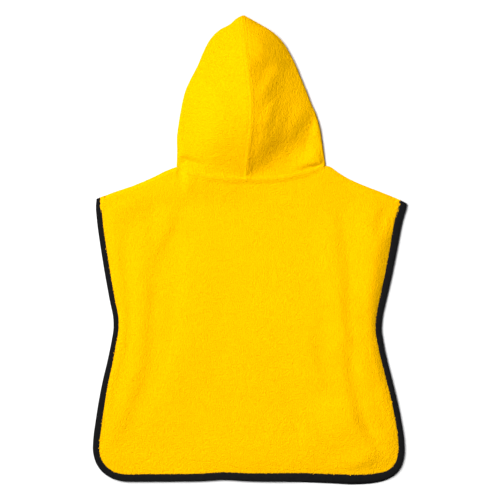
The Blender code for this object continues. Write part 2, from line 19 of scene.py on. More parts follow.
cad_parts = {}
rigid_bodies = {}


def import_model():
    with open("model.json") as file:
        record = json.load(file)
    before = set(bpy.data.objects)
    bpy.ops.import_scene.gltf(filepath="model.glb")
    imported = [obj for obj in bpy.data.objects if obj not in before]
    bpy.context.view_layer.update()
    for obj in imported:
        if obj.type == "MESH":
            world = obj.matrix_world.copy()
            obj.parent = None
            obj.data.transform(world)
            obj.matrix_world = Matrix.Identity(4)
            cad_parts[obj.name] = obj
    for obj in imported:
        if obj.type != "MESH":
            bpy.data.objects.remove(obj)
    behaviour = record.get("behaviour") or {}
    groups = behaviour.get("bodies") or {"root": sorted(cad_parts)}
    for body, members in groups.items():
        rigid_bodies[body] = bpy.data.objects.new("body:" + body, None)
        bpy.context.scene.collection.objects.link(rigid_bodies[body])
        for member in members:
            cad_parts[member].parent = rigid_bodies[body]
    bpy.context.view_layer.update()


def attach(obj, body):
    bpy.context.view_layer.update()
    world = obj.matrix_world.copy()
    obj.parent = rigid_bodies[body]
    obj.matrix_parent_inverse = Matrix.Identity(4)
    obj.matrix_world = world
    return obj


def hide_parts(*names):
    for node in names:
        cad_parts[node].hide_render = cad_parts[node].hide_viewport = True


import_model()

bl_info = {
    "name": "Hooded Bath Poncho",
    "version": (1, 0, 0),
    "blender": (4, 5, 0),
    "location": "3D View > Sidebar > Poncho",
    "description": "Dresses a flat-laid hooded bath poncho with terry, bias binding and sewing",
    "category": "Add Mesh",
}

MM = 0.001
BODY = "root"

# Cloth and seams
TERRY = 2.5  # thickness of the terry
HALF = TERRY / 2
TERRY_PRESSED = 1.4  # the same cloth where the binding grips it
TERRY_AT_SHOULDER = 1.5  # pressed in the shoulder seam
TAPE = 0.6  # thickness of the binding cloth
GAP = 0.3  # between pieces that touch
SEAM_GAP = 0.1  # between pieces that are sewn edge to edge
EDGE_INSET = 1.2  # from the outer edge of the binding to the cloth's cut edge inside it
FULL_INSIDE = 4.0  # the cloth has its full thickness this far from the binding's inner edge
# The cloth on its way into the binding: distance from the binding's inner edge, negative within the
# binding, half of the thickness, and how far its middle bulges away from the other panel
INTO_BINDING = ((2.8, 1.6, 0.15), (1.6, 1.85, 0.2), (0.5, 1.55, 0.05), (-0.8, 0.7, 0.0))
SHOULDER_PRESS = 7.0  # the shoulder seams press the panels over this distance
EDGE_LEAST = 0.04  # a rounded edge starts at this share of its radius, so that it isn't a knife edge

# Levels of the two layers
BINDING_TALL = 3.6
FRONT_LEVEL = HALF
BACK_LEVEL = TERRY + GAP + HALF
FRONT_BINDING_LEVEL = BINDING_TALL / 2
BACK_BINDING_LEVEL = BINDING_TALL + GAP + BINDING_TALL / 2
SETTLE = 80.0  # the back panel comes down from its binding to the front panel over this length
ROLL_SETTLE = 90.0  # and from the roll beside its binding over this one
SHOULDER_SETTLE = 50.0  # and from the one at a shoulder seam over this one
ROLL_CLEAR = 30.0  # a roll fades out over this length towards another border
FOLD_CLEAR = 14.0  # folds of the back panel fade out over this length towards the binding
FOLD_END = 25.0  # every fold fades out over this length at both ends of its crest

# Outline of the back panel at the outer edge of its binding: height, left edge, right edge
SIDE_ROWS = (
    (84, -296.3, 302.3),
    (58, -294.4, 294.8),
    (0, -286.5, 283.4),
    (-58, -276.9, 271.7),
    (-96, -269.9, 262.8),
    (-135, -262.6, 254.9),
    (-154, -262.6, 254.1),
    (-173, -265.7, 256.7),
    (-212, -273.6, 264.7),
    (-250, -282.7, 274.4),
    (-289, -290.4, 283.8),
    (-328, -296.6, 291.7),
    (-362, -301.2, 297.0),
)
TIP_LEFT = (-295.2, 98.6)  # outer ends of the shoulders
TIP_RIGHT = (303.2, 89.6)
# Rounded hem corners: where the curve leaves the side and meets the hem, and its two handles
CORNER_LEFT = {"side": (-302.3, -380.0), "hem": (-231.0, -447.0), "down": 41.0, "across": 43.0}
CORNER_RIGHT = {"side": (298.3, -381.0), "hem": (202.0, -448.0), "down": 60.0, "across": 60.0}
# Hem between the corners: x, y
HEM_ROWS = (
    (-150, -446.6),
    (-95, -446.0),
    (-50, -443.6),
    (-5, -446.0),
    (58, -446.9),
    (104, -446.3),
    (150, -446.5),
)
# Shoulders from the tip to the neck: x, y
SHOULDER_LEFT = ((-260, 112.1), (-225, 124.0), (-191, 138.2), (-156, 155.0))
SHOULDER_RIGHT = ((281, 100.9), (258, 110.0), (223, 123.5), (189, 138.7), (166, 153.0), (154, 161.4))
# Seam between the back panel and the hood: x, y
NECK_ROWS = (
    (-141, 163.8),
    (-125, 149.8),
    (-96, 141.0),
    (-58, 135.2),
    (-6, 132.9),
    (48, 135.2),
    (96, 143.4),
    (135, 155.7),
    (146.8, 164.6),
)
FRONT_NECK_DROP = 80.0  # the front neckline's lowest point below the ends of the shoulders
FRONT_NECK_POWER = 2.0
NECK_FADE = 55.0  # the back panel comes down from the lifted neck seam over this length
NECK_CLEAR = 14.0  # its own folds fade out over this length towards the neck seam

# Binding along the edge, from the left shoulder (0) over the hem to the right shoulder (1):
# share of the way, visible width, how far the front panel's edge stands out beyond the back's
BINDING_ROWS = (
    (0.00, 12.5, -1.0),
    (0.03, 11.4, -1.0),
    (0.07, 11.5, -1.0),
    (0.12, 10.8, -1.0),
    (0.17, 10.2, -1.0),
    (0.22, 12.0, -1.0),
    (0.27, 13.4, -1.0),
    (0.31, 12.8, -1.0),
    (0.34, 13.8, -1.0),
    (0.37, 15.0, -1.0),
    (0.42, 15.0, -0.9),
    (0.48, 15.6, -0.6),
    (0.54, 17.2, 0.6),
    (0.57, 16.6, 2.4),
    (0.59, 15.2, 3.6),
    (0.62, 15.0, 4.8),
    (0.65, 15.6, 3.4),
    (0.68, 13.4, 1.3),
    (0.71, 11.2, -0.5),
    (0.75, 10.6, -0.7),
    (0.80, 10.9, -0.9),
    (0.85, 11.6, -0.8),
    (0.90, 12.9, -0.5),
    (0.94, 13.6, -0.3),
    (1.00, 15.3, 0.0),
)
MITRE = 25.0  # near its ends the binding's cross-section turns to follow the shoulder

# Hood outline: height, left edge, right edge
HOOD_ROWS = (
    (163.8, -141.0, 146.8),
    (192.7, -139.9, 142.0),
    (215.8, -140.3, 138.9),
    (238.9, -137.6, 134.8),
    (262.0, -133.9, 127.7),
    (285.2, -129.5, 117.6),
    (308.3, -123.3, 108.7),
    (331.4, -112.7, 99.0),
    (354.5, -100.6, 89.7),
    (377.7, -90.9, 78.2),
    (400.8, -79.4, 64.0),
    (412.3, -70.9, 53.6),
    (423.9, -58.2, 39.3),
    (435.5, -37.6, 19.8),
    (447.0, -24.1, -1.0),
)
HOOD_TIP = (-11.6, 451.6)
# Middle seam of the hood: height, x, middle of the cloth above, middle of the cloth below
SEAM_ROWS = (
    (132.9, -6.0, 6.5, HALF),
    (148.0, -5.8, 12.0, HALF),
    (173.0, -3.9, 25.0, HALF),
    (205.0, -0.6, 40.0, HALF),
    (240.0, 4.0, 51.0, HALF),
    (285.0, 4.2, 54.0, HALF),
    (347.0, -1.9, 51.0, HALF),
    (390.0, -6.6, 43.0, HALF),
    (420.0, -9.3, 31.0, HALF),
    (437.0, -11.0, 21.0, 1.4),
    (446.0, -12.0, 13.0, 2.8),
    (HOOD_TIP[1] - HALF, HOOD_TIP[0], 7.0, 7.0),
)
# Radius of the fold at the hood's sides: height, radius
BEND_ROWS = (
    (163.8, 1.4),
    (176.0, 2.4),
    (200.0, 3.6),
    (300.0, 4.0),
    (415.0, 5.0),
    (440.0, 4.0),
    (451.25, 3.0),
)
ROUND_TIP_FROM = 415.0  # above this height the section turns from a tent into an ellipse
FOLD_TURN = math.radians(10)  # half of that ellipse's angle that belongs to the side fold
SEAM_FLAT, SIDE_FLAT = 0.09, 0.06  # shares of the upper layer over which its folds fade out
NECK_FLAT = (0.10, 0.0)  # added at the neck to the share at the left and at the right side
NECK_FLAT_TO = 0.12  # that addition is gone at this share of the hood's length
HOLLOW_STOP = 3  # the higher, the closer a hollow comes to the back panel before it is held up
TIP_UPRIGHT = 0.8  # above this share of the hood the lower layer's thickness runs straight up
RIDGE_ROUND = 5.0  # the tent's ridge is rounded over this distance from the seam
# Face opening: lowest and highest point, half of its width
FACE_LOW, FACE_HIGH, FACE_HALF = 84.5, 372.0, 83.0
FACE_ROUND = 0.6  # below 1 the ends of the opening are blunt

# Folds: height, reach to the left and to the right of the crest, and the crest from its upper
# end down as x, y, share of the height. A negative height is a valley.
BACK_FOLDS = (
    # Long fold on the left
    (2.29, 48, 26, ((-156, 97, 0), (-158, 56, 1.32), (-171, 23, 1.11), (-186, -6, 0.93),
        (-193, -34, 0.6), (-204, -96, 1.15), (-208, -173, 0.96), (-211, -216, 1), (-224, -259, 1.15),
        (-237, -295, 0.93), (-249, -330, 0.82), (-264, -362, 0.61), (-279, -388, 0))),
    # Valley beside the left binding
    (-1.37, 16, 24, ((-244, 43, 0), (-243, 0, 1.14), (-237, -58, 0.68), (-231, -96, 1.15),
        (-231, -145, 1.28), (-234, -183, 1.15), (-242, -222, 0.81), (-249, -250, 0.96),
        (-258, -280, 0.71), (-264, -310, 0.5), (-277, -348, 0))),
    # Broad rise left of the middle
    (2.48, 39, 89, ((-90, 87, 0), (-111, 21, 0.51), (-114, -76, 1.03), (-124, -133, 0.83),
        (-129, -171, 1.24), (-138, -219, 1.38), (-150, -246, 1), (-162, -276, 0.81), (-173, -302, 0.68),
        (-186, -327, 0.79), (-204, -380, 0))),
    # Fold under the left shoulder
    (3, 38, 52, ((-108, 142, 0), (-133, 117, 0.82), (-194, 100, 0.71), (-247, 74, 1.3), (-288, 63, 0))),
    # Long fold on the right
    (4.92, 86, 28, ((175, 99, 0), (153, 80, 0.27), (158, 53, 0.51), (164, 18, 0.64), (165, -20, 0.47),
        (173, -58, 0.42), (173, -97, 0.57), (172, -136, 1.08), (177, -164, 1.24), (179, -193, 1.02),
        (176, -223, 0.89), (178, -251, 0.96), (185, -281, 0.99), (191, -307, 1.1), (198, -333, 1.2),
        (210, -356, 1.2), (223, -376, 1), (235, -396, 0.6), (246, -416, 0))),
    # Its short double
    (1.39, 27, 14, ((165, -163, 0), (171, -183, 1.04), (179, -212, 0))),
    # Ridge beside it below
    (1.58, 25, 19, ((210, -284, 0), (229, -305, 0.6), (244, -334, 1), (256, -358, 0.7), (266, -378, 0))),
    # Rise towards the right corner
    (4.2, 70, 100, ((85, -358, 0), (120, -352, 0.7), (165, -342, 1), (195, -322, 0.9), (208, -280, 0))),
    # Ridge right of it
    (2.9, 21, 47, ((199, -140, 0), (199, -187, 0.64), (217, -218, 1.41), (227, -244, 0.84),
        (237, -275, 0))),
    # Short fold below right
    (2.65, 67, 27, ((117, -146, 0), (108, -184, 0.74), (118, -214, 1.27), (128, -241, 0.93),
        (151, -271, 0))),
    # Soft rise right of the middle
    (2.1, 200, 42, ((79, 66, 0), (101, 20, 0.29), (109, -76, 1.02), (112, -153, 1.48), (106, -231, 0))),
    # Crease at the right shoulder tip
    (2.08, 68, 18, ((268, 91, 0), (246, 79, 1.03), (236, 57, 0.96), (236, 33, 0.78), (232, 8, 0))),
    # Valley beside it
    (-1.11, 27, 17, ((282, 72, 0), (259, 67, 1.06), (253, 41, 1), (245, 13, 0))),
    # Upper ridge on the left
    (1.64, 33, 27, ((-182, 67, 0), (-205, 43, 1.16), (-205, -1, 0.84), (-210, -60, 0.98), (-211, -110, 0))),
    # Rise left of the right fold
    (1.95, 39, 32, ((145, 61, 0), (149, -9, 1.35), (144, -90, 0.43), (151, -150, 0))),
    # Hollow by the right roll
    (-3.13, 35, 55, ((197, 40, 0), (198, -30, 1.15), (195, -90, 1.45), (207, -131, 0))),
    # Corner fold
    (1.18, 18, 31, ((160, -395, 0), (195, -411, 0.51), (228, -407, 1.32), (251, -422, 0))),
    # Rise right of the left fold
    (0.64, 21, 31, ((-164, -60, 0), (-167, -130, 0.97), (-168, -200, 1.19), (-184, -261, 0.1),
        (-208, -310, 0))),
)
HOOD_FOLDS_LEFT = (
    # Crease at the neck
    (-3.27, 14, 15, ((-150, 165, 1), (-135, 173, 0.9), (-119, 173, 1), (-104, 167, 1), (-84, 155, 0))),
    # Collar
    (5.56, 190, 72, ((-130, 177, 0.2), (-118, 156, 0.64), (-97, 120, 1.57), (-57, 171, 0.3))),
    # Fullness at the side
    (5.6, 57, 83, ((-58, 330, 0), (-70, 290, 1.1), (-64, 245, 1.34), (-66, 205, 0.9), (-70, 180, 0.5),
        (-67, 150, 0))),
    # Flat beside the seam
    (-2.05, 40, 110, ((-21, 229, 0), (-44, 182, 0.45), (-57, 153, 0))),
    # Roll above the neck
    (4.4, 22, 15, ((-145, 155, 0.5), (-128, 147, 0.8), (-108, 144, 0.5), (-84, 138, 0.2), (-60, 137, 0))),
    # Edge above the crease
    (3.0, 10, 45, ((-172, 186, 0), (-145, 184, 1), (-120, 181, 1), (-100, 175, 0.6), (-80, 168, 0))),
)
HOOD_FOLDS_RIGHT = (
    # Beside the seam at the top
    (9.2, 47, 66, ((20, 452, 0), (28, 408, 0.9), (31, 379, 1.0), (32, 340, 0))),
    # Upper fold
    (2.17, 23, 26, ((33, 385, 0), (55, 355, 0.93), (42, 324, 1.12), (32, 292, 0.67), (8, 272, 0))),
    # Second fold
    (2.2, 13, 17, ((61, 286, 0), (40, 270, 0.96), (35, 247, 1.17), (26, 226, 0.45), (20, 201, 0))),
    # Third fold
    (4.5, 32, 56, ((111, 314, 0), (105, 288, 0.28), (104, 263, 0.93), (97, 243, 0.98), (88, 221, 1.6),
        (80, 201, 0.61), (79, 176, 0))),
    # Roll at the side
    (4.4, 23, 20, ((124, 285, 0), (141, 252, 0.75), (133, 229, 1.2), (125, 208, 1.1), (121, 186, 0.6),
        (98, 177, 0))),
    # Hollow above the neck
    (-5.2, 52, 90, ((60, 250, 0), (72, 221, 0.2), (68, 194, 0.6), (50, 172, 1.1), (36, 156, 1.05),
        (24, 122, 0))),
    # Valley towards the side
    (-7.16, 63, 45, ((129, 296, 0), (119, 265, 0.34), (117, 234, 1.07), (105, 206, 1.6), (82, 190, 1.39),
        (58, 171, 0.54), (29, 156, 0.2))),
    # Crease at the neck
    (-4.6, 10, 17, ((86, 154, 0), (105, 155, 0.8), (125, 155, 0.95), (136, 157, 1.1), (148, 162, 0.9))),
    # Edge above the crease
    (3.2, 30, 11, ((175, 180, 0), (148, 175, 1), (125, 169, 1), (100, 163, 0.8), (76, 157, 0))),
    # Dip at the top right
    (-2.12, 34, 45, ((44, 433, 0), (42, 392, 1.31), (80, 376, 0.1), (76, 332, 0.1), (72, 301, 0))),
    # Dip in the middle
    (-0.94, 19, 31, ((66, 333, 0), (67, 302, 0.59), (65, 270, 1.01), (76, 235, 1.09), (62, 198, 0))),
    # Sharp edge of the upper fold
    (1.67, 17, 21, ((46, 344, 0), (38, 324, 0.58), (26, 303, 1.32), (27, 278, 0))),
    # Sharp edge of the second fold
    (1.3, 10, 15, ((45, 282, 0), (30, 267, 0.21), (23, 245, 1.2), (16, 221, 0))),
    # Crease below the third fold
    (-1.93, 26, 22, ((116, 268, 0), (108, 244, 0.59), (93, 225, 1.35), (78, 203, 1.03), (57, 194, 0))),
    # Rise beside the seam
    (0.73, 19, 27, ((54, 226, 0), (25, 215, 1.06), (23, 184, 0.81), (10, 167, 0))),
    # Deep hollow
    (-2.4, 120, 24, ((61, 264, 0), (72, 234, 0.19), (61, 207, 0.42), (45, 188, 0.57), (41, 158, 1.15),
        (47, 130, 0))),
)
# The back panel stands up from its binding and sinks back over a long way: y at the sides or x at the
# hem, height, length of the rise
ROLL_LEFT = (
    (-420, 0, 20),
    (-340, 0.1, 18),
    (-250, 0.8, 14),
    (-150, 1.6, 12),
    (-60, 1.9, 17),
    (30, 2.4, 45),
    (80, 0.5, 35),
)
ROLL_HEM = (
    (-280, 1, 22),
    (-150, 0.4, 44),
    (0, 2.9, 48),
    (100, 2.8, 40),
    (180, 1.4, 34),
    (250, 2.4, 50),
)
ROLL_RIGHT = (
    (-420, 1, 41),
    (-380, 1.5, 28),
    (-340, 2.2, 14),
    (-300, 4, 21),
    (-250, 5.2, 17),
    (-210, 5.1, 17),
    (-170, 5.8, 20),
    (-130, 5.8, 18),
    (-90, 10.6, 32),
    (-50, 11.5, 39),
    (-15, 10.8, 41),
    (15, 9.7, 35),
    (45, 5.8, 34),
    (80, 1.5, 45),
)
# It rises in the same way from the shoulder seams: the seam, height, length of the rise
ROLL_SHOULDERS = ((SHOULDER_LEFT, 2.0, 14.0), (SHOULDER_RIGHT, 0.6, 12.0))

# Sewing
SEAM_GROOVE = (0.0, 0.5)  # depth of the groove at the hood's middle seam, low down and at the tip
SEAM_BAND = (0.4, 0.6)  # height by which the seam allowance inside lifts it, low down and at the tip
TIP_FROM, TIP_OVER = 390.0, 35.0  # the values for the tip come in over this stretch of the seam
GROOVE_REACH = 2.2
SEAM_BAND_REACH = 6.0
# The seam allowance inside lifts the neck seam, but not at its left end: x, height
NECK_BAND = ((-141, 0.0), (-115, 0.2), (-90, 1.6), (-70, 2.3), (70, 2.3), (100, 1.7), (147, 1.0))
# The rise sinks again between the first two distances above the seam, and over the third one below it
NECK_BAND_FROM, NECK_BAND_TO, NECK_BAND_BELOW = 4.0, 9.0, 6.2
NECK_STITCH = 3.0  # stitch line above the neck seam
NECK_STITCH_FROM, NECK_STITCH_TO = -132, 138  # x of its ends
NECK_EDGE_ROUND = 0.35  # radius of the back panel's edge in the neck seam
HOOD_STITCH = 5.5  # stitch lines on both sides of the hood's middle seam
HOOD_STITCH_FROM, HOOD_STITCH_TO = 150.0, 440.0  # y of their ends
BINDING_STITCH = 2.0  # from the binding's inner edge to its stitch line
STITCH_DENT = 0.35
DENT_REACH = 2.0
STITCH_HALF = 0.38  # half of a stitch, as a share of the way from one stitch to the next
STITCH_OUT = 0.1  # its middle stands out of the cloth by this share of the thread

# Cross-section of the folded tape, upper half: share of the visible width, distance added to it from
# the outer edge, and how far the outside lies below the top or the inside clear of the terry
TAPE_OUTSIDE = (
    (1.0, 0.0, 0.9),
    (1.0, -0.2, 0.55),
    (1.0, -0.9, 0.4),
    (1.0, -BINDING_STITCH, 0.75),
    (1.0, -3.3, 0.35),
    (0.5, 0.0, 0.1),
    (0.0, 2.6, 0.0),
    (0.0, 1.4, 0.3),
    (0.0, 0.5, 0.9),
    (0.0, 0.1, 1.4),
)
TAPE_INSIDE = (
    (1.0, 0.0, 0.25),
    (1.0, -0.5, 0.1),
    (0.5, 0.0, 0.1),
    (0.0, TAPE + 0.4, 0.0),
)
TAPE_FOLD = TAPE + 0.1  # where the inside is folded, from the outer edge

# Unevenness of the pile and the tape
NAP_CLUMPS = ((7.0, 0.6), (3.1, 0.7))  # width of the clumps, share of the height
NAP_FACING = 0.3  # a face counts for the direction of the pile if its normal rises more than this
RIPPLES = ((9.0, 0.22), (31.0, 0.3))  # length and height of the tape's ripples
RIPPLE_LINES = {False: (0.0, 7.0), True: (3.0, 7.0)}  # where the back's and the front's noise is read

# Loose loops
LOOP_HALVES = (0.5, 0.3, 0.28)  # half of the length, width and height, as shares of the length that is set
LOOP_GROWN = (0.7, 1.2)  # least and greatest size, as shares of the usual one
LOOP_TURN = 0.7  # at the most, in radians
LOOP_BELOW, LOOP_RISE = 0.9, 0.5  # its level below the binding's top, and the most that it lies higher
LOOP_OVER, TUFT_OVER = -0.3, 0.6  # a single loop keeps back from the binding, a tuft lies over it
TUFT_CHANCE, TUFT_GROWN = 0.04, 1.3

# Grid
BACK_PITCH, FRONT_PITCH = 2.8, 4.2  # of the panels
HOOD_ROWS_COUNT = 200
HOOD_ROWS_CLOSER = 1.4  # above 1 the rows lie closer together towards the tip
HOOD_ROW_LEAST = 0.002  # the even rows start this share of the length above the close ones at the neck
HOOD_HALF_WIDTH = 140.0  # for the close rows beside the middle seam
HOOD_TOP_COUNT = 84
HOOD_BEND_COUNT = 8
HOOD_UNDER_COUNT = 36
EDGE_ROUND = (0.0, 0.6, 1.5, 3.0, 4.4, 5.5, 6.3, 7.1, 8.2)  # rows near a sewn edge, by distance from it
CURVE_SPACING = 2.0
CREST_SPACING = 6.0
HOOD_OUTLINE_SPACING = 0.7
CORNER_STEPS = 40
NECK_STATIONS = 60
# Stations on each side of a panel and along its hem
ROLL_STATIONS = (60, 60)
TAPE_STATIONS = (170, 190)
STITCH_STATIONS = (120, 120)
LOOP_STATIONS = (200, 220)
MERGE = 0.01  # points that lie closer than this become one

# Finishes: sizes and reliefs in metres, and how much of each pattern counts
PATCH_SIZE = 0.045
LOOP_RANDOM = 0.95  # 0 would set the loops in straight rows
LOOP_RELIEF, NAP_RELIEF = 0.55, 0.9
# Shares of the terry's colour: the loops and the nap's clumps paint light on their raised parts and shade
# in their low ones; the patches vary the tone at random
LOOP_PAINTED_LIGHT, NAP_PAINTED_LIGHT, PATCH_LIGHT = 0.5, 0.8, 0.1
ALL_GAP_SHADE, ALL_LOOP = 0.38, 1.07  # the sum of the shares above where the colour is the painted shade of a gap, and where it is the colour of a loop
LINT_SIZE, LINT_RELIEF, LINT_SHARE = 0.006, 0.0006, 0.7
WEAVE_RELIEF, WEAVE_SHARE = 0.00012, 0.3
NO_LINT, ALL_LINT = 0.3, 0.75
FUZZ_SIZE, FUZZ_RELIEF, FUZZ_SHADE = 0.0007, 0.0002, 0.75

# Stage, in metres, but the camera's sensor in millimetres
FLOOR_RADIUS, FLOOR_SIDES, FLOOR_BELOW = 14.0, 96, 0.0002
SUN_AWAY = 3.0
NEAR_ACROSS = 0.5
SENSOR = 36.0
VIEW_END = 100.0


# ---------------------------------------------------------------- curves and folds


def lengths(curve):
    """Length along a curve up to each of its points; only the first two columns count."""
    return np.concatenate(([0.0], np.cumsum(np.linalg.norm(np.diff(curve[:, :2], axis=0), axis=1))))


def along_shares(curve):
    """The same as shares of the whole length."""
    return lengths(curve) / lengths(curve)[-1]


def even_shares(count):
    return np.linspace(0.0, 1.0, count)


def unit(vectors):
    """Rows of vectors, each brought to the length 1."""
    return vectors / np.linalg.norm(vectors, axis=1)[:, None]


def smooth_curve(points, spacing=CURVE_SPACING):
    """Closely spaced points on a smooth curve through the given ones, with any further columns."""
    points = np.array(points, float)
    knots = lengths(points)
    slopes = np.gradient(points, knots, axis=0)
    at = np.linspace(0.0, knots[-1], max(2, int(knots[-1] / spacing)))
    k = np.clip(np.searchsorted(knots, at, side="right") - 1, 0, len(knots) - 2)
    span = (knots[k + 1] - knots[k])[:, None]
    s = (at - knots[k])[:, None] / span
    return (
        (2 * s**3 - 3 * s**2 + 1) * points[k]
        + (s**3 - 2 * s**2 + s) * span * slopes[k]
        + (3 * s**2 - 2 * s**3) * points[k + 1]
        + (s**3 - s**2) * span * slopes[k + 1]
    )


def at_shares(curve, shares):
    """Points of a curve at shares of its length."""
    along = lengths(curve)
    wanted = np.asarray(shares) * along[-1]
    return np.stack([np.interp(wanted, along, column) for column in curve.T], axis=-1)


def bezier(a, b, c, d):
    """Points on a curve from a to d, with b and c as its handles."""
    t = even_shares(CORNER_STEPS + 1)[:, None]
    a, b, c, d = (np.array(p, float) for p in (a, b, c, d))
    return (1 - t) ** 3 * a + 3 * (1 - t) ** 2 * t * b + 3 * (1 - t) * t**2 * c + t**3 * d


def table(rows, column, at):
    """A column of a table, read between its rows; the first column rises."""
    return np.interp(at, [row[0] for row in rows], [row[column] for row in rows])


def smooth_step(value):
    value = np.clip(value, 0.0, 1.0)
    return value * value * (3 - 2 * value)


def fading(value):
    """From 1 to 0, as the value goes from 0 to 1."""
    return 1 - smooth_step(value)


def curled(value):
    """From 0 to 1 with the steepest rise at the start, as cloth stands up beside its binding."""
    value = np.clip(value, 0.0, 1.0)
    return 2 * value - 2 * value**3 + value**4


def distances(curve, points, block=4000):
    """For each point: distance to a curve, the nearest stretch, the share of it and the side."""
    start, run = curve[:-1, :2], np.diff(curve[:, :2], axis=0)
    square = (run * run).sum(1)
    found = []
    for first in range(0, len(points), block):
        to_point = points[first : first + block, None, :] - start
        share = np.clip((to_point * run).sum(2) / square, 0.0, 1.0)
        off = to_point - share[:, :, None] * run
        distance = np.hypot(off[:, :, 0], off[:, :, 1])
        k = distance.argmin(axis=1)
        each = np.arange(len(k))
        side = run[k, 0] * off[each, k, 1] - run[k, 1] * off[each, k, 0]
        found.append(np.stack((distance[each, k], k, share[each, k], side)))
    distance, k, share, side = np.concatenate(found, axis=1)
    return distance, k.astype(int), share, side


class Fold:
    """A soft ridge or trough along a crest line that runs down the cloth."""

    def __init__(self, height, left, right, crest):
        self.height = height
        self.left = left
        self.right = right
        self.crest = smooth_curve(crest, CREST_SPACING)
        along = lengths(self.crest)
        self.crest[:, 2] *= smooth_step(np.minimum(along, along[-1] - along) / FOLD_END)

    def lift(self, points):
        lift = np.zeros(len(points))
        reach = max(self.left, self.right)
        low, high = self.crest[:, :2].min(0) - reach, self.crest[:, :2].max(0) + reach
        near = np.flatnonzero(((points > low) & (points < high)).all(1))
        if len(near):
            distance, k, share, side = distances(self.crest, points[near])
            # Going down the crest, the left-hand side of the way is the right of the cloth.
            ratio = np.minimum(distance / np.where(side > 0, self.right, self.left), 1.0)
            strength = self.crest[k, 2] + (self.crest[k + 1, 2] - self.crest[k, 2]) * share
            lift[near] = self.height * strength * (1 - ratio**2) ** 3
        return lift


def lift_of(rows, points):
    return sum(Fold(*row).lift(points) for row in rows)


def ridge_round(distance):
    """How much lower a tent's rounded ridge is than its sharp one, for a slope of 1."""
    return np.sqrt(distance**2 + RIDGE_ROUND**2) - distance


# ---------------------------------------------------------------- outline of the panels


def corner(shape, outward):
    """Rounded hem corner from the side to the hem; outward is -1 on the left and 1 on the right."""
    side, hem = shape["side"], shape["hem"]
    below = (side[0], side[1] - shape["down"])
    beside = (hem[0] + outward * shape["across"], hem[1])
    return bezier(side, below, beside, hem)


def panel_edge():
    """Outer edge of the back panel's binding, from the left shoulder over the hem to the right.

    Also gives the two points of the curve where the panel's sides turn into its hem.
    """
    left = smooth_curve([TIP_LEFT, *((row[1], row[0]) for row in SIDE_ROWS), CORNER_LEFT["side"]])
    right = smooth_curve([TIP_RIGHT, *((row[2], row[0]) for row in SIDE_ROWS), CORNER_RIGHT["side"]])[::-1]
    hem = smooth_curve([CORNER_LEFT["hem"], *HEM_ROWS, CORNER_RIGHT["hem"]])
    left_corner = corner(CORNER_LEFT, -1)
    right_corner = corner(CORNER_RIGHT, 1)[::-1]
    curve = np.concatenate((left, left_corner[1:], hem[1:], right_corner[1:], right[1:]))
    left_turn = len(left) - 1 + len(left_corner) // 2
    right_turn = len(curve) - len(right) - len(right_corner) // 2
    return curve, left_turn, right_turn


class Edge:
    """Stations along the panel's edge, with the direction in which the cloth lies from each.

    The shares run down each side, from the shoulder to the turn in the rounded corner, and along the
    hem from turn to turn.
    """

    def __init__(self, side_shares, hem_shares, front):
        curve, left_turn, right_turn = panel_edge()
        along = lengths(curve)
        first, last = along[left_turn], along[right_turn]
        side = np.asarray(side_shares)
        hem = first + np.asarray(hem_shares)[1:] * (last - first)
        back_up = along[-1] - side[::-1][1:] * (along[-1] - last)
        stations = np.concatenate((side * first, hem, back_up))
        share = stations / along[-1]
        self.along = stations
        self.width = table(BINDING_ROWS, 1, share)
        self.points = at_shares(curve, share)
        tangents = np.gradient(curve, along, axis=0)
        tangent = unit(at_shares(np.concatenate((curve, tangents), axis=1), share)[:, 2:])
        self.inward = np.stack((-tangent[:, 1], tangent[:, 0]), axis=-1)
        self.turn_end(0, np.subtract(SHOULDER_LEFT[0], TIP_LEFT), stations)
        self.turn_end(-1, np.subtract(SHOULDER_RIGHT[0], TIP_RIGHT), along[-1] - stations)
        if front:
            self.points = self.at(-table(BINDING_ROWS, 2, share))

    def turn_end(self, end, shoulder, distance):
        """Let the inward direction follow the shoulder at one end, as a mitre."""
        direction = shoulder / np.linalg.norm(shoulder)
        mitred = direction / direction.dot(self.inward[end])
        weight = fading(distance / MITRE)[:, None]
        self.inward = self.inward * (1 - weight) + mitred * weight

    def at(self, inset):
        """The stations moved in from the edge by one inset, or by one for each of them."""
        return self.points + self.inward * np.reshape(inset, (-1, 1))


def even_edge(stations, front=False):
    """An edge with even steps, for the numbers of stations on each side and along the hem."""
    sides, hem = stations
    return Edge(even_shares(sides), even_shares(hem), front)


def fold_start(side):
    """X where the lowest row of the hood starts to turn round at its side."""
    edge = HOOD_ROWS[0][1 if side < 0 else 2]
    return edge - side * (HALF + BEND_ROWS[0][1])


def neck_points(side, shares):
    """Back neckline at shares of the way from the middle seam to the side fold."""
    curve = smooth_curve(NECK_ROWS)
    xs = SEAM_ROWS[0][1] + (fold_start(side) - SEAM_ROWS[0][1]) * np.asarray(shares)
    return np.stack((xs, np.interp(xs, curve[:, 0], curve[:, 1])), axis=-1)


def front_neck_points(side, shares):
    """Front neckline at shares of the way from the side fold to the middle."""
    share = np.asarray(shares)
    xs = fold_start(side) + (SEAM_ROWS[0][1] - fold_start(side)) * share
    drop = FRONT_NECK_DROP * (1 - (1 - share) ** FRONT_NECK_POWER)
    return np.stack((xs, neck_points(side, [1.0])[0, 1] - drop), axis=-1)


def upper_border(neck, front, pitch):
    """Upper border of a panel: shoulder, neckline from fold to fold, shoulder, in even steps.

    Also gives the numbers of the points where the neckline starts and ends.
    """
    edge = even_edge((2, 2), front)
    ends = edge.at(edge.width + FULL_INSIDE)
    neck = neck - (0.0, SEAM_GAP / 2)

    def stretch(points):
        count = round(lengths(points)[-1] / pitch)
        return at_shares(points, even_shares(count + 1))

    left = stretch(smooth_curve([ends[0], *SHOULDER_LEFT, neck[0]]))
    right = stretch(smooth_curve([ends[-1], *SHOULDER_RIGHT[1:], neck[-1]]))
    neck = stretch(neck)
    return np.concatenate((left, neck[1:], right[::-1][1:])), len(left) - 1, len(left) + len(neck) - 2


# ---------------------------------------------------------------- finishes


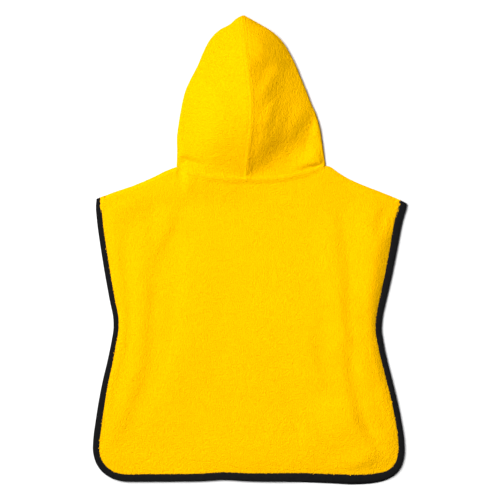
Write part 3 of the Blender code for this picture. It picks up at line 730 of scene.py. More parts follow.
class Signal:
    """A number on a socket. Arithmetic on it adds Math nodes to its finish."""

    def __init__(self, finish, socket):
        self.finish = finish
        self.socket = socket

    def math(self, operation, first, second):
        made = self.finish.node("ShaderNodeMath", {"operation": operation}, {0: first, 1: second})
        return Signal(self.finish, made.outputs[0])

    def __add__(self, other):
        return self.math("ADD", self, other)

    def __radd__(self, other):
        return self.math("ADD", other, self)

    def __sub__(self, other):
        return self.math("SUBTRACT", self, other)

    def __rsub__(self, other):
        return self.math("SUBTRACT", other, self)

    def __mul__(self, other):
        return self.math("MULTIPLY", self, other)

    def __rmul__(self, other):
        return self.math("MULTIPLY", other, self)


class Finish:
    """A material being made, with its nodes wired by socket name or number."""

    def __init__(self, name, roughness, specular):
        self.material = bpy.data.materials.new(name)
        self.material.use_nodes = True
        self.nodes = self.material.node_tree.nodes
        self.links = self.material.node_tree.links
        self.shader = self.nodes["Principled BSDF"]
        self.shader.inputs["Roughness"].default_value = roughness
        self.shader.inputs["Specular IOR Level"].default_value = specular

    def node(self, kind, settings=None, inputs=None):
        made = self.nodes.new(kind)
        for key, value in (settings or {}).items():
            setattr(made, key, value)
        for key, value in (inputs or {}).items():
            self.feed(made.inputs[key], value)
        return made

    def feed(self, socket, value):
        if isinstance(value, Signal):
            value = value.socket
        if isinstance(value, bpy.types.NodeSocket):
            self.links.new(value, socket)
        else:
            socket.default_value = value

    def signal(self, kind, settings=None, inputs=None, output=0):
        return Signal(self, self.node(kind, settings, inputs).outputs[output])

    def coordinates(self, output):
        return self.node("ShaderNodeTexCoord").outputs[output]

    def noise(self, coordinates, size, detail=2.0, roughness=0.5):
        """Cloudy noise from 0 to 1 whose lumps are about one size across, in metres."""
        inputs = {"Vector": coordinates, "Scale": 1 / size, "Detail": detail, "Roughness": roughness}
        return self.signal("ShaderNodeTexNoise", None, inputs)

    def clamped(self, value, low, high):
        """A signal stretched so that low becomes 0 and high becomes 1, and clamped there."""
        inputs = {"Value": value, "From Min": low, "From Max": high}
        return self.signal("ShaderNodeMapRange", {"clamp": True}, inputs)

    def mix(self, factor, first, second):
        """The colour between two colours; the node's sockets 6 and 7 are those for colours."""
        inputs = {0: factor, 6: first, 7: second}
        return self.node("ShaderNodeMix", {"data_type": "RGBA"}, inputs).outputs[2]

    def bump(self, height, distance, strength=1.0, under=None):
        inputs = {"Height": height, "Distance": distance, "Strength": strength}
        if under is not None:
            inputs["Normal"] = under
        return self.node("ShaderNodeBump", None, inputs).outputs[0]

    def complete(self, colour, normal):
        self.feed(self.shader.inputs["Base Color"], colour)
        self.feed(self.shader.inputs["Normal"], normal)
        return self.material


def terry_finish(name):
    """Looped pile: rounded loop heads, and the nap in clumps and soft patches. The colour has painted shade
    in the gaps between the loops and in the clumps' low places, and painted light on the loop heads and
    raised clumps; the patches vary its tone at random.
    """
    cloth = bpy.context.scene.poncho_terry
    finish = Finish(name, cloth.roughness, specular=0.0)
    place = finish.coordinates("Object")
    inputs = {"Vector": place, "Scale": 1 / cloth.loop_size, "Randomness": LOOP_RANDOM}
    loops = 1 - finish.signal("ShaderNodeTexVoronoi", {"feature": "F1"}, inputs)
    nap = finish.noise(place, cloth.nap_size, detail=3.0, roughness=0.6)
    patches = finish.noise(place, PATCH_SIZE)
    height = loops * LOOP_RELIEF + nap * NAP_RELIEF
    # Painted light and shade: the colour darkens towards the gaps' shade where the loops and clumps are low
    # and lightens where they are raised; the patches vary the tone at random
    light = loops * LOOP_PAINTED_LIGHT + nap * NAP_PAINTED_LIGHT + patches * PATCH_LIGHT
    colour = finish.mix(finish.clamped(light, ALL_GAP_SHADE, ALL_LOOP), cloth.gap_shade_colour, cloth.colour)
    return finish.complete(colour, finish.bump(height, cloth.pile_depth))


def tape_finish(name):
    """Bias tape: a fine plain weave at 45 degrees to the tape, with lighter lint in soft patches here and
    there.
    """
    tape = bpy.context.scene.poncho_binding
    finish = Finish(name, tape.roughness, specular=0.08)
    place = finish.coordinates("UV")
    turned = finish.node("ShaderNodeMapping", None, {"Vector": place, "Rotation": (0.0, 0.0, math.pi / 4)})
    parts = finish.node("ShaderNodeSeparateXYZ", None, {0: turned.outputs[0]})
    turns = math.tau / tape.yarn
    warp, weft = (
        finish.signal("ShaderNodeMath", {"operation": "SINE"}, {0: Signal(finish, part) * turns})
        for part in parts.outputs[:2]
    )
    weave = warp * weft * 0.5 + 0.5
    lint = finish.noise(finish.coordinates("Object"), LINT_SIZE, detail=3.0)
    worn = finish.clamped(lint * LINT_SHARE + weave * WEAVE_SHARE, NO_LINT, ALL_LINT)
    colour = finish.mix(worn, tape.colour, tape.lint_colour)
    under = finish.bump(lint, LINT_RELIEF, strength=0.6)
    return finish.complete(colour, finish.bump(weave, WEAVE_RELIEF, strength=0.8, under=under))


def thread_finish(name, colour):
    """Twisted sewing thread."""
    finish = Finish(name, roughness=0.7, specular=0.2)
    fuzz = finish.noise(finish.coordinates("Object"), FUZZ_SIZE, detail=1.0)
    shade = [channel * FUZZ_SHADE for channel in colour[:3]] + [1.0]
    return finish.complete(finish.mix(fuzz, shade, colour), finish.bump(fuzz, FUZZ_RELIEF, strength=0.6))


# ---------------------------------------------------------------- settings


class PonchoTerry(bpy.types.PropertyGroup):
    colour: bpy.props.FloatVectorProperty(
        name="Colour", description="Colour of the loops", subtype="COLOR", size=4, min=0.0, max=1.0,
        default=(0.985, 0.555, 0.0, 1.0))
    # Painted shade: the darker colour put deep between the loops, where shade falls
    gap_shade_colour: bpy.props.FloatVectorProperty(
        name="Gap Colour", description="Colour deep between the loops", subtype="COLOR", size=4, min=0.0,
        max=1.0, default=(0.82, 0.38, 0.0, 1.0))
    loop_size: bpy.props.FloatProperty(
        name="Loop Size", description="Width of one loop of the pile", subtype="DISTANCE", unit="LENGTH",
        default=0.0017)
    nap_size: bpy.props.FloatProperty(
        name="Nap Size", description="Width of the clumps in which the pile lies", subtype="DISTANCE",
        unit="LENGTH", default=0.0029)
    pile_depth: bpy.props.FloatProperty(
        name="Pile Depth", description="Relief of the loops", subtype="DISTANCE", unit="LENGTH",
        default=0.0027)
    nap_lift: bpy.props.FloatProperty(
        name="Nap Lift", description="Height of the clumps of pile in the mesh", subtype="DISTANCE",
        unit="LENGTH", default=0.0005)
    roughness: bpy.props.FloatProperty(
        name="Roughness", description="Roughness of the pile", subtype="FACTOR", min=0.0, max=1.0,
        default=0.95)


class PonchoLoops(bpy.types.PropertyGroup):
    count: bpy.props.IntProperty(
        name="Count", description="Number of loose loops along the inner edge of the binding", default=420,
        min=0)
    size: bpy.props.FloatProperty(
        name="Size", description="Mean length of a loose loop", subtype="DISTANCE", unit="LENGTH",
        default=0.0026)
    overhang: bpy.props.FloatProperty(
        name="Overhang", description="How far the loops lie over the binding at the most",
        subtype="DISTANCE", unit="LENGTH", default=0.0008)
    seed: bpy.props.IntProperty(name="Seed", description="Start of the random numbers", default=7)


class PonchoBinding(bpy.types.PropertyGroup):
    colour: bpy.props.FloatVectorProperty(
        name="Colour", description="Colour of the bias tape", subtype="COLOR", size=4, min=0.0, max=1.0,
        default=(0.003, 0.003, 0.0033, 1.0))
    lint_colour: bpy.props.FloatVectorProperty(
        name="Lint Colour", description="Colour of the raised fibres", subtype="COLOR", size=4, min=0.0,
        max=1.0, default=(0.006, 0.006, 0.006, 1.0))
    yarn: bpy.props.FloatProperty(
        name="Yarn", description="Width of one thread of the weave", subtype="DISTANCE", unit="LENGTH",
        default=0.0009)
    roughness: bpy.props.FloatProperty(
        name="Roughness", description="Roughness of the tape", subtype="FACTOR", min=0.0, max=1.0,
        default=0.85)


class PonchoSewing(bpy.types.PropertyGroup):
    stitch: bpy.props.FloatProperty(
        name="Stitch Length", description="Length of a stitch with the gap after it", subtype="DISTANCE",
        unit="LENGTH", default=0.0032)
    thread: bpy.props.FloatProperty(
        name="Thread", description="Thickness of the sewing thread", subtype="DISTANCE", unit="LENGTH",
        default=0.0006)
    terry_thread: bpy.props.FloatVectorProperty(
        name="Terry Thread", description="Colour of the thread in the terry", subtype="COLOR", size=4,
        min=0.0, max=1.0, default=(0.93, 0.50, 0.0, 1.0))
    tape_thread: bpy.props.FloatVectorProperty(
        name="Tape Thread", description="Colour of the thread in the binding", subtype="COLOR", size=4,
        min=0.0, max=1.0, default=(0.012, 0.012, 0.012, 1.0))


class PonchoStage(bpy.types.PropertyGroup):
    framed: bpy.props.FloatProperty(
        name="Framed Width", description="Width of the ground that the camera frames", subtype="DISTANCE",
        unit="LENGTH", default=0.9634)
    aside: bpy.props.FloatProperty(
        name="Camera Aside", description="How far right of the middle the camera stands",
        subtype="DISTANCE", unit="LENGTH", default=0.0009)
    lens: bpy.props.FloatProperty(
        name="Lens", description="Focal length in millimetres", subtype="NONE", default=110.0)
    floor_colour: bpy.props.FloatVectorProperty(
        name="Floor Colour", description="Colour of the floor", subtype="COLOR", size=4, min=0.0, max=1.0,
        default=(0.72, 0.72, 0.72, 1.0))
    light_turn: bpy.props.FloatProperty(
        name="Light Turn", description="Direction that the light comes from, seen from above",
        subtype="ANGLE", unit="ROTATION", default=math.radians(145))
    light_height: bpy.props.FloatProperty(
        name="Light Height", description="Height of the light over the floor", subtype="ANGLE",
        unit="ROTATION", default=math.radians(51.4))
    sun: bpy.props.FloatProperty(name="Sun", description="Strength of the even light", default=4.86)
    softness: bpy.props.FloatProperty(
        name="Softness", description="Angle across the even light", subtype="ANGLE", unit="ROTATION",
        default=math.radians(40))
    near: bpy.props.FloatVectorProperty(
        name="Near Light", description="Place of the near light", subtype="TRANSLATION", unit="LENGTH",
        size=3, default=(-0.266, 0.059, 0.915))
    key: bpy.props.FloatProperty(
        name="Key", description="Power of the near light", subtype="POWER", unit="POWER", default=4.6)
    ambient: bpy.props.FloatProperty(
        name="Ambient", description="Strength of the light all round", default=0.08)


# ---------------------------------------------------------------- meshes


def new_piece(name, bm, material):
    """The finished mesh, from millimetres to metres, as a piece that rides on the frame."""
    bmesh.ops.scale(bm, vec=(MM, MM, MM), verts=bm.verts[:])
    mesh = bpy.data.meshes.new(name)
    bm.to_mesh(mesh)
    bm.free()
    mesh.materials.append(material)
    mesh.shade_smooth()
    piece = bpy.data.objects.new(name, mesh)
    bpy.context.scene.collection.objects.link(piece)
    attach(piece, BODY)
    return piece


def numbered_grid(columns, rows):
    """A grid whose vertices carry their column, and their row from the top."""
    bm = bmesh.new()
    column = bm.verts.layers.int.new("column")
    row = bm.verts.layers.int.new("row")
    bmesh.ops.create_grid(bm, x_segments=columns, y_segments=rows, size=1.0)
    for vert in bm.verts:
        vert[column] = round((vert.co.x + 1) / 2 * columns)
        vert[row] = round((1 - vert.co.y) / 2 * rows)
    return bm, column, row


def new_verts(made):
    return [item for item in made["geom"] if isinstance(item, bmesh.types.BMVert)]


def raise_nap(bm, lowest=None):
    """Push the surface in and out where the pile lies in clumps. lowest keeps a flat underside."""
    lift = bpy.context.scene.poncho_terry.nap_lift / MM
    bm.normal_update()
    moves = []
    for vert in bm.verts:
        clump = sum(noise.noise(vert.co / width) * share for width, share in NAP_CLUMPS)
        facing = [face.normal for face in vert.link_faces if abs(face.normal.z) > NAP_FACING]
        out = sum(facing, Vector()).normalized() if facing else vert.normal
        moves.append(out * (clump * lift))
    for vert, move in zip(bm.verts, moves):
        vert.co += move
        if lowest is not None:
            vert.co.z = max(vert.co.z, lowest)


def edge_spaced(length, pitch):
    """Shares of a length that starts at a sewn edge: its close rows and then even steps."""
    close = [distance / length for distance in EDGE_ROUND]
    count = max(1, round((1.0 - close[-1]) * length / pitch))
    return np.concatenate((close[:-1], np.linspace(close[-1], 1.0, count + 1)))


def coons(top, bottom, left, right, down):
    """Points spanned between four border curves that share their corners, by column and row."""
    across = along_shares(top)[:, None, None]
    down = np.asarray(down)[None, :, None]
    between_ends = (1 - down) * top[:, None] + down * bottom[:, None]
    between_sides = (1 - across) * left[None] + across * right[None]
    left_corners = (1 - down) * top[0] + down * bottom[0]
    right_corners = (1 - down) * top[-1] + down * bottom[-1]
    return between_ends + between_sides - (1 - across) * left_corners - across * right_corners


def rounded(distance, radius):
    """Half of the cloth's thickness near a turned edge, whose profile is round."""
    inside = np.clip(distance / radius, EDGE_LEAST, 1.0)
    return HALF * np.sqrt(1 - (1 - inside) ** 2)


def panel_plan(neck, front):
    """A panel's flat mesh: a grid inside the binding, with rings that are drawn out into it.

    For each vertex it also gives the place, the distance from the upper border, the number of the ring
    and whether it lies below the neckline.
    """
    pitch = FRONT_PITCH if front else BACK_PITCH
    top, neck_from, neck_to = upper_border(neck, front, pitch)
    columns = len(top) - 1
    side_length = TIP_LEFT[1] - CORNER_LEFT["hem"][1]
    down = edge_spaced(side_length, pitch)
    rows = len(down) - 1
    edge = Edge(down, along_shares(top), front)
    border = edge.at(edge.width + FULL_INSIDE)
    right_side = border[rows + columns :][::-1]
    points = coons(top, border[rows : rows + columns + 1], border[: rows + 1], right_side, down)
    below = down * side_length
    bm, column, row = numbered_grid(columns, rows)
    station = bm.verts.layers.int.new("station")
    ring = bm.verts.layers.int.new("ring")
    for vert in bm.verts:
        i, j = vert[column], vert[row]
        vert.co = (*points[i, j], 0.0)
        on_border = i in (0, columns) or j == rows
        along_border = j if i == 0 else rows + i if j == rows else 2 * rows + columns - j
        vert[station] = along_border if on_border else -1
    rim = [e for e in bm.edges if e.is_boundary and min(v[station] for v in e.verts) >= 0]
    insets = [edge.width + inside for inside, _half, _lift in INTO_BINDING]
    for number, inset in enumerate((*insets, EDGE_INSET), start=1):
        made = bmesh.ops.extrude_edge_only(bm, edges=rim)
        moved = edge.at(inset)
        for vert in new_verts(made):
            vert[ring] = number
            vert.co = (*moved[vert[station]], 0.0)
        edges = [item for item in made["geom"] if isinstance(item, bmesh.types.BMEdge)]
        rim = [e for e in edges if all(v[ring] == number for v in e.verts)]
    places = np.array([vert.co[:2] for vert in bm.verts])
    from_top = np.array([below[vert[row]] for vert in bm.verts])
    rings = np.array([vert[ring] for vert in bm.verts])
    at_neck = np.array([neck_from < vert[column] < neck_to for vert in bm.verts])
    return bm, places, from_top, rings, at_neck


def panel_cloth(name, neck, level, front, material):
    """A panel of terry: its flat mesh, brought to its height and given its thickness.

    level(points, below) gives the middle of the cloth; below is the distance from the neckline, or
    infinite beside it.
    """
    bm, places, from_top, rings, at_neck = panel_plan(neck, front)
    middle = level(places, np.where(at_neck, from_top, math.inf))
    half = rounded(from_top, np.where(at_neck & (not front), NECK_EDGE_ROUND, HALF))
    binding_level = FRONT_BINDING_LEVEL if front else BACK_BINDING_LEVEL
    for number, (_inside, ring_half, lift) in enumerate(INTO_BINDING, start=1):
        within = rings == number
        middle[within] = binding_level - lift if front else middle[within] + lift
        half[within] = np.minimum(half[within], ring_half)
    within = rings == len(INTO_BINDING) + 1
    middle[within] = binding_level
    half[within] = np.minimum(half[within], TERRY_PRESSED / 2)
    # The shoulders are sewn together, so there the two panels bend to each other.
    meet = TERRY + GAP / 2
    towards = np.where(at_neck, 0.0, fading(from_top / SHOULDER_PRESS))
    half *= 1 - towards * (1 - TERRY_AT_SHOULDER / TERRY)
    shoulder = meet + (-1 if front else 1) * (GAP / 2 + TERRY_AT_SHOULDER / 2)
    middle += (shoulder - middle) * towards * (rings == 0)
    upper = bm.verts.layers.float.new("upper")
    for vert, centre, thick in zip(bm.verts, middle, half):
        vert.co.z = centre - thick
        vert[upper] = centre + thick
    for vert in new_verts(bmesh.ops.extrude_face_region(bm, geom=bm.faces[:])):
        vert.co.z = vert[upper]
    bmesh.ops.recalc_face_normals(bm, faces=bm.faces[:])
    raise_nap(bm, 0.0 if front else None)
    return new_piece(name, bm, material)


class RolledEdge:
    """How the back panel stands up from its binding along the left side, the hem and the right side."""

    def __init__(self):
        edge = even_edge(ROLL_STATIONS)
        rim = edge.at(edge.width)
        first, last = ROLL_STATIONS[0] - 1, sum(ROLL_STATIONS) - 2
        self.borders = (rim[: first + 1], rim[first : last + 1], rim[last:])

    def inside(self, points):
        """Distance of each point from the three borders, 0 outside of the nearest one."""
        found = np.array([distances(border, points) for border in self.borders])
        nearest = found[:, 0].argmin(axis=0)
        within = np.take_along_axis(found[:, 3], nearest[None], axis=0)[0] > 0
        return np.where(within, found[:, 0], 0.0)

    def roll(self, points, inside):
        total = np.zeros(len(points))
        for number, (rows, axis) in enumerate(((ROLL_LEFT, 1), (ROLL_HEM, 0), (ROLL_RIGHT, 1))):
            rows = smooth_curve(rows)
            rise = table(rows, 2, points[:, axis])
            up = curled(inside[number] / rise) * fading((inside[number] - rise) / ROLL_SETTLE)
            others = curled(np.delete(inside, number, axis=0) / ROLL_CLEAR).prod(axis=0)
            total += table(rows, 1, points[:, axis]) * up * others
        return total


def back_level(neck):
    """Height of the back panel's cloth: its folds, its rolled edge and the lifted neck seam."""
    rolled = RolledEdge()
    edge = hood_edge()

    def level(points, below):
        inside = rolled.inside(points)
        settled = smooth_step(inside / SETTLE).prod(axis=0)
        lifted = (BACK_BINDING_LEVEL - BACK_LEVEL) * (1 - settled) + rolled.roll(points, inside)
        folds = lift_of(BACK_FOLDS, points) * smooth_step(inside / FOLD_CLEAR).prod(axis=0)
        for shoulder, height, rise in ROLL_SHOULDERS:
            away = distances(smooth_curve(shoulder), points)[0]
            folds += height * curled(away / rise) * fading((away - rise) / SHOULDER_SETTLE)
        drop = np.interp(points[:, 0], neck[:, 0], neck[:, 1]) - points[:, 1]
        neck_lift = (np.interp(points[:, 0], *edge) - BACK_LEVEL) * fading(drop / NECK_FADE)
        band = table(NECK_BAND, 1, points[:, 0]) * fading(below / NECK_BAND_BELOW)
        return BACK_LEVEL + (lifted + folds) * smooth_step(below / NECK_CLEAR) + neck_lift + band

    return level


def front_level(points, _below):
    """Height of the front panel's cloth, which lies flat."""
    return np.full(len(points), FRONT_LEVEL)


# ---------------------------------------------------------------- binding


def binding_section(width):
    """Cross-section of the folded tape as (inset, height) around it, for one visible width."""
    tall, grip = BINDING_TALL / 2, TERRY_PRESSED / 2
    outside = [(width * share + more, tall - depth) for share, more, depth in TAPE_OUTSIDE]
    inside = [(width * share + more, grip + clear) for share, more, clear in TAPE_INSIDE]
    lower_outside = [(inset, -height) for inset, height in reversed(outside)]
    lower_inside = [(inset, -height) for inset, height in inside]
    edge, fold = (0.0, 0.0), (TAPE_FOLD, 0.0)
    return [*outside, edge, *lower_outside, *lower_inside, fold, *reversed(inside)]


def ripple(along, front):
    """How far the tape's upper half is lifted by its soft unevenness, at a length along it."""
    return sum(
        noise.noise((along / length, line, 0.0)) * height
        for (length, height), line in zip(RIPPLES, RIPPLE_LINES[front])
    )


def binding_tape(name, front, material):
    """Bias tape folded round the edge, with its soft unevenness."""
    edge = even_edge(TAPE_STATIONS, front)
    level = FRONT_BINDING_LEVEL if front else BACK_BINDING_LEVEL
    stations = len(edge.points) - 1
    sections = np.array([binding_section(width) for width in edge.width])
    count = sections.shape[1]
    around = lengths(np.concatenate((sections[0], sections[0][:1])))
    bm, column, row = numbered_grid(stations, count)
    uv = bm.loops.layers.uv.new("tape")
    for face in bm.faces:
        for loop in face.loops:
            loop[uv].uv = (edge.along[loop.vert[column]] * MM, around[loop.vert[row]] * MM)
    for vert in bm.verts:
        station = vert[column]
        inset, height = sections[station, vert[row] % count]
        at = edge.points[station] + edge.inward[station] * inset
        centre = edge.width[station] * 0.5
        loose = fading(abs(inset - centre) / centre)
        up = 1 if height > 0 else -1
        lift = 0.0 if front and up < 0 else ripple(edge.along[station], front) * loose * up
        vert.co = (*at, max(level + height + lift, 0.0))
    bmesh.ops.remove_doubles(bm, verts=bm.verts[:], dist=MERGE)
    bmesh.ops.holes_fill(bm, edges=[e for e in bm.edges if e.is_boundary], sides=0)
    bmesh.ops.recalc_face_normals(bm, faces=bm.faces[:])
    return new_piece(name, bm, material)


# ---------------------------------------------------------------- hood


def folded(tent, lift):
    """The tent's height with its folds, none of them sinking into the back panel below."""
    room = np.maximum(tent - BACK_LEVEL, 1e-6)
    drop = np.maximum(-lift, 0.0)
    return tent + np.maximum(lift, 0.0) - drop / (1 + (drop / room) ** HOLLOW_STOP) ** (1 / HOLLOW_STOP)


class HoodHalf:
    """Middle surface of one hood half, from the seam over the side fold to the face edge."""

    def __init__(self, side, folds):
        self.side = side
        self.folds = folds
        self.neck_flat = NECK_FLAT[0 if side < 0 else 1]
        left = [(row[1], row[0]) for row in HOOD_ROWS]
        right = [(row[2], row[0]) for row in reversed(HOOD_ROWS)]
        outline = smooth_curve([*left, HOOD_TIP, *right], HOOD_OUTLINE_SPACING)
        tangent = unit(np.gradient(outline, axis=0))
        middle = outline + HALF * np.stack((tangent[:, 1], -tangent[:, 0]), axis=-1)
        top = int(middle[:, 1].argmax())
        self.outline = middle[: top + 1] if side < 0 else middle[top:][::-1]
        self.seam = smooth_curve(SEAM_ROWS)
        self.tip = self.seam[-1, 0]
        close = [distance / HOOD_HALF_WIDTH for distance in EDGE_ROUND]
        self.top_shares = np.concatenate((close[:-1], np.linspace(close[-1], 1.0, HOOD_TOP_COUNT)))
        self.bend_shares = even_shares(HOOD_BEND_COUNT + 1)[1:]
        self.under_shares = even_shares(HOOD_UNDER_COUNT + 1)
        self.neck = neck_points(side, self.top_shares) + (0.0, SEAM_GAP / 2)
        self.front_neck = front_neck_points(side, self.under_shares) + (0.0, GAP / 2)

    def seam_x(self, y):
        return np.interp(y, self.seam[:, 0], self.seam[:, 1])

    def above(self, y):
        return np.interp(y, self.seam[:, 0], self.seam[:, 2])

    def below(self, y):
        return np.maximum(HALF, np.interp(y, self.seam[:, 0], self.seam[:, 3]))

    def reach(self, y):
        """Distance from the seam out to the side fold."""
        return np.abs(np.interp(y, self.outline[:, 1], self.outline[:, 0]) - self.seam_x(y))

    def face_reach(self, y):
        """Distance from the middle to the face edge, or to the lower seam above the opening."""
        share = (y - FACE_LOW) / (FACE_HIGH - FACE_LOW)
        if not 0.0 < share < 1.0:
            return GAP / 2
        return max(GAP / 2, FACE_HALF * math.sin(math.pi * share) ** FACE_ROUND)

    def row(self, rise):
        """The points of one row as x, y, z and their distance from the seam.

        rise is 0 at the neck and 1 at the tip. turn is each point's angle round the ellipse that the
        section becomes towards the tip.
        """
        seam_y, fold_y = (y + (self.tip - y) * rise for y in (self.neck[0, 1], self.neck[-1, 1]))
        reach, low, high = self.reach(fold_y), self.below(fold_y), self.above(seam_y)
        bend = min(table(BEND_ROWS, 1, fold_y), reach / 2, (high - low) / 2)
        slope = math.atan2(max(high - low - 2 * bend, 0.0), max(reach - bend, GAP))
        tip_share = smooth_step((fold_y - ROUND_TIP_FROM) / (self.tip - ROUND_TIP_FROM))
        centre = low + bend
        tent_end = centre + bend * math.cos(slope)
        face_low = self.front_neck[-1, 1]
        face = self.face_reach(face_low + (self.tip - face_low) * rise)

        # The upper layer, from the seam to the side, with its folds
        share = self.top_shares
        top_y = self.neck[:, 1] + (self.tip - self.neck[:, 1]) * rise
        top_out = (self.reach(top_y) - bend + bend * math.sin(slope)) * share
        side_flat = SIDE_FLAT + self.neck_flat * fading(rise / NECK_FLAT_TO)
        free = smooth_step(share / SEAM_FLAT) * smooth_step((1 - share) / side_flat)
        ridge = ridge_round(top_out) * math.tan(slope)
        tent = tent_end + (high - tent_end) * (1 - share) - ridge * (1 - share)
        places = np.stack((self.seam_x(top_y) + self.side * top_out, top_y), axis=-1)
        top_z = folded(tent, free * lift_of(self.folds, places))
        top_turn = math.pi / 2 - (math.pi / 2 - FOLD_TURN) * share

        # The side fold
        angle = math.pi / 2 - slope - (math.pi - slope) * self.bend_shares
        bend_out = reach - bend + bend * np.cos(angle)
        bend_z = centre + bend * np.sin(angle)
        bend_turn = FOLD_TURN * (1 - 2 * self.bend_shares)
        bend_y = np.full(len(angle), fold_y)

        # The lower layer, from the side to the face edge
        share, front = self.under_shares[1:], self.front_neck[1:]
        under_y = front[:, 1] + (self.tip - front[:, 1]) * rise
        under_out = (reach - bend) * (1 - share) + face * share
        under_turn = -FOLD_TURN - (math.pi / 2 - FOLD_TURN) * share

        out = np.concatenate((top_out, bend_out, under_out))
        y = np.concatenate((top_y, bend_y, under_y))
        z = np.concatenate((top_z, bend_z, self.below(under_y)))
        turn = np.concatenate((top_turn, bend_turn, under_turn))
        towards = np.where(turn > 0, high, 2 * centre - low)
        round_z = centre + (towards - centre) * np.sin(turn)
        out = out + (reach * np.cos(turn) - out) * tip_share
        z = z + (round_z - z) * tip_share
        out = np.maximum(out, GAP / 2)
        x = self.seam_x(y) + self.side * out
        if rise == 0.0:  # the lowest row lies on the two necklines
            count, under = len(self.neck), len(out) - len(self.front_neck)
            x[:count], y[:count] = self.neck.T
            x[under:], y[under:] = self.front_neck.T
            x[0] += self.side * GAP / 2
            x[-1] += self.side * GAP / 2
        return np.stack((x, y, z, out), axis=-1)

    def surface(self):
        """Middle points, outward directions and distances from the seam, by row and column."""
        even = 1 - (1 - even_shares(HOOD_ROWS_COUNT)) ** HOOD_ROWS_CLOSER
        close = np.array(EDGE_ROUND) / (self.tip - self.neck[0, 1])
        rises = np.concatenate((close, even[even > close[-1] + HOOD_ROW_LEAST]))
        rises[-1] = 1.0
        points = np.array([self.row(rise) for rise in rises])
        places = points[:, :, :3]
        normals = np.cross(np.gradient(places, axis=1), np.gradient(places, axis=0)) * self.side
        under = len(self.top_shares) + HOOD_BEND_COUNT
        normals[:, under:, :2] *= (rises < TIP_UPRIGHT)[:, None, None]
        # The cloth is cut straight across at the neck, along the middle and the face edge, and at the tip.
        normals[0, :, 1] = 0.0
        normals[:, 0, 0] = 0.0
        normals[:, -1, 0] = 0.0
        normals[-1] = (0.0, 1.0, 0.0)
        normals /= np.maximum(np.linalg.norm(normals, axis=2), 1e-9)[:, :, None]
        from_neck = (rises * (self.tip - self.neck[0, 1]))[:, None] + np.zeros(points.shape[1])
        return places, normals, points[:, :, 3], from_neck


def hood_edge():
    """X and height of the hood's lowest row, from the left side fold to the right one."""
    left, right = (HoodHalf(side, folds) for side, folds in ((-1, HOOD_FOLDS_LEFT), (1, HOOD_FOLDS_RIGHT)))
    left, right = (half.row(0.0)[: len(half.neck)] for half in (left, right))
    row = np.concatenate((left[::-1], right[1:]))
    return row[:, 0], row[:, 2]


def seam_relief(points, out, from_neck):
    """How far the seams and stitches of the hood raise or dent its upper layer."""
    at_tip = smooth_step((points[:, :, 1] - TIP_FROM) / TIP_OVER)
    groove, band = (low + (high - low) * at_tip for low, high in (SEAM_GROOVE, SEAM_BAND))
    relief = band * fading(out / SEAM_BAND_REACH)
    relief -= groove * fading(out / GROOVE_REACH)
    relief -= STITCH_DENT * fading(np.abs(out - HOOD_STITCH) / DENT_REACH)
    by_neck = fading((from_neck - NECK_BAND_FROM) / (NECK_BAND_TO - NECK_BAND_FROM))
    relief += table(NECK_BAND, 1, points[:, :, 0]) * by_neck
    relief -= STITCH_DENT * fading(np.abs(from_neck - NECK_STITCH) / DENT_REACH)
    return relief


def hood_cloth(name, side, folds, material):
    """One half of the hood in terry, as a grid along its middle surface that is given its thickness."""
    half = HoodHalf(side, folds)
    points, normals, out, from_neck = half.surface()
    rows, columns = (count - 1 for count in points.shape[:2])
    relief = seam_relief(points, out, from_neck)
    relief[:, len(half.top_shares) :] = 0.0
    outer = points + normals * (HALF + relief)[:, :, None]
    inner = points - normals * HALF
    # Where the half reaches the middle seam, both walls end at half of the gap from it.
    for wall in (outer, inner):
        for column in (0, columns):
            on_seam = np.abs(points[:, column, 0] - half.seam_x(points[:, column, 1])) < GAP
            seam = half.seam_x(wall[:, column, 1]) + side * SEAM_GAP / 2
            wall[:, column, 0] = np.where(on_seam, seam, wall[:, column, 0])
        wall[-1, :, 0] = half.seam_x(half.tip) + side * SEAM_GAP / 2
        wall[:, :, 2] = np.maximum(wall[:, :, 2], 0.0)
    bm, column, row = numbered_grid(columns, rows)
    for vert in bm.verts:
        vert.co = outer[rows - vert[row], vert[column]]
    for vert in new_verts(bmesh.ops.extrude_face_region(bm, geom=bm.faces[:])):
        vert.co = inner[rows - vert[row], vert[column]]
    bmesh.ops.remove_doubles(bm, verts=bm.verts[:], dist=MERGE)
    bmesh.ops.recalc_face_normals(bm, faces=bm.faces[:])
    raise_nap(bm, 0.0)
    return new_piece(name, bm, material)


# ---------------------------------------------------------------- stitches and loose loops


def surface_tree(piece):
    """The piece's faces, for finding where a stitch lies."""
    bm = bmesh.new()
    bm.from_mesh(piece.data)
    tree = BVHTree.FromBMesh(bm)
    bm.free()
    return tree


def stitch_line(bm, line, trees, upward=True):
    """Stitches along a line on the cloth: long thin beads pressed into it, on its top or its underside."""
    sewing = bpy.context.scene.poncho_sewing
    step, thickness = sewing.stitch / MM, sewing.thread / MM
    count = max(2, round(lengths(line)[-1] / step))
    places = at_shares(line, (np.arange(count) + 0.5) / count)
    ahead = np.gradient(places, axis=0)
    up = 1 if upward else -1
    for (x, y), (run_x, run_y) in zip(places, ahead):
        origin = Vector((x * MM, y * MM, up))
        hits = [tree.ray_cast(origin, Vector((0, 0, -up))) for tree in trees]
        hits = [hit for hit in hits if hit[0] is not None]
        if not hits:
            continue
        place, normal = max(((hit[0], hit[1]) for hit in hits), key=lambda hit: up * hit[0].z)
        along = Vector((run_x, run_y, 0.0))
        along = (along - normal * along.dot(normal)).normalized()
        across = normal.cross(along)
        turn = Matrix((along, across, normal)).transposed().to_4x4()
        size = (step * STITCH_HALF, thickness / 2, thickness / 2)
        for vert in bead(bm, place / MM + normal * thickness * STITCH_OUT, turn, size):
            vert.co.z = max(vert.co.z, 0.0)


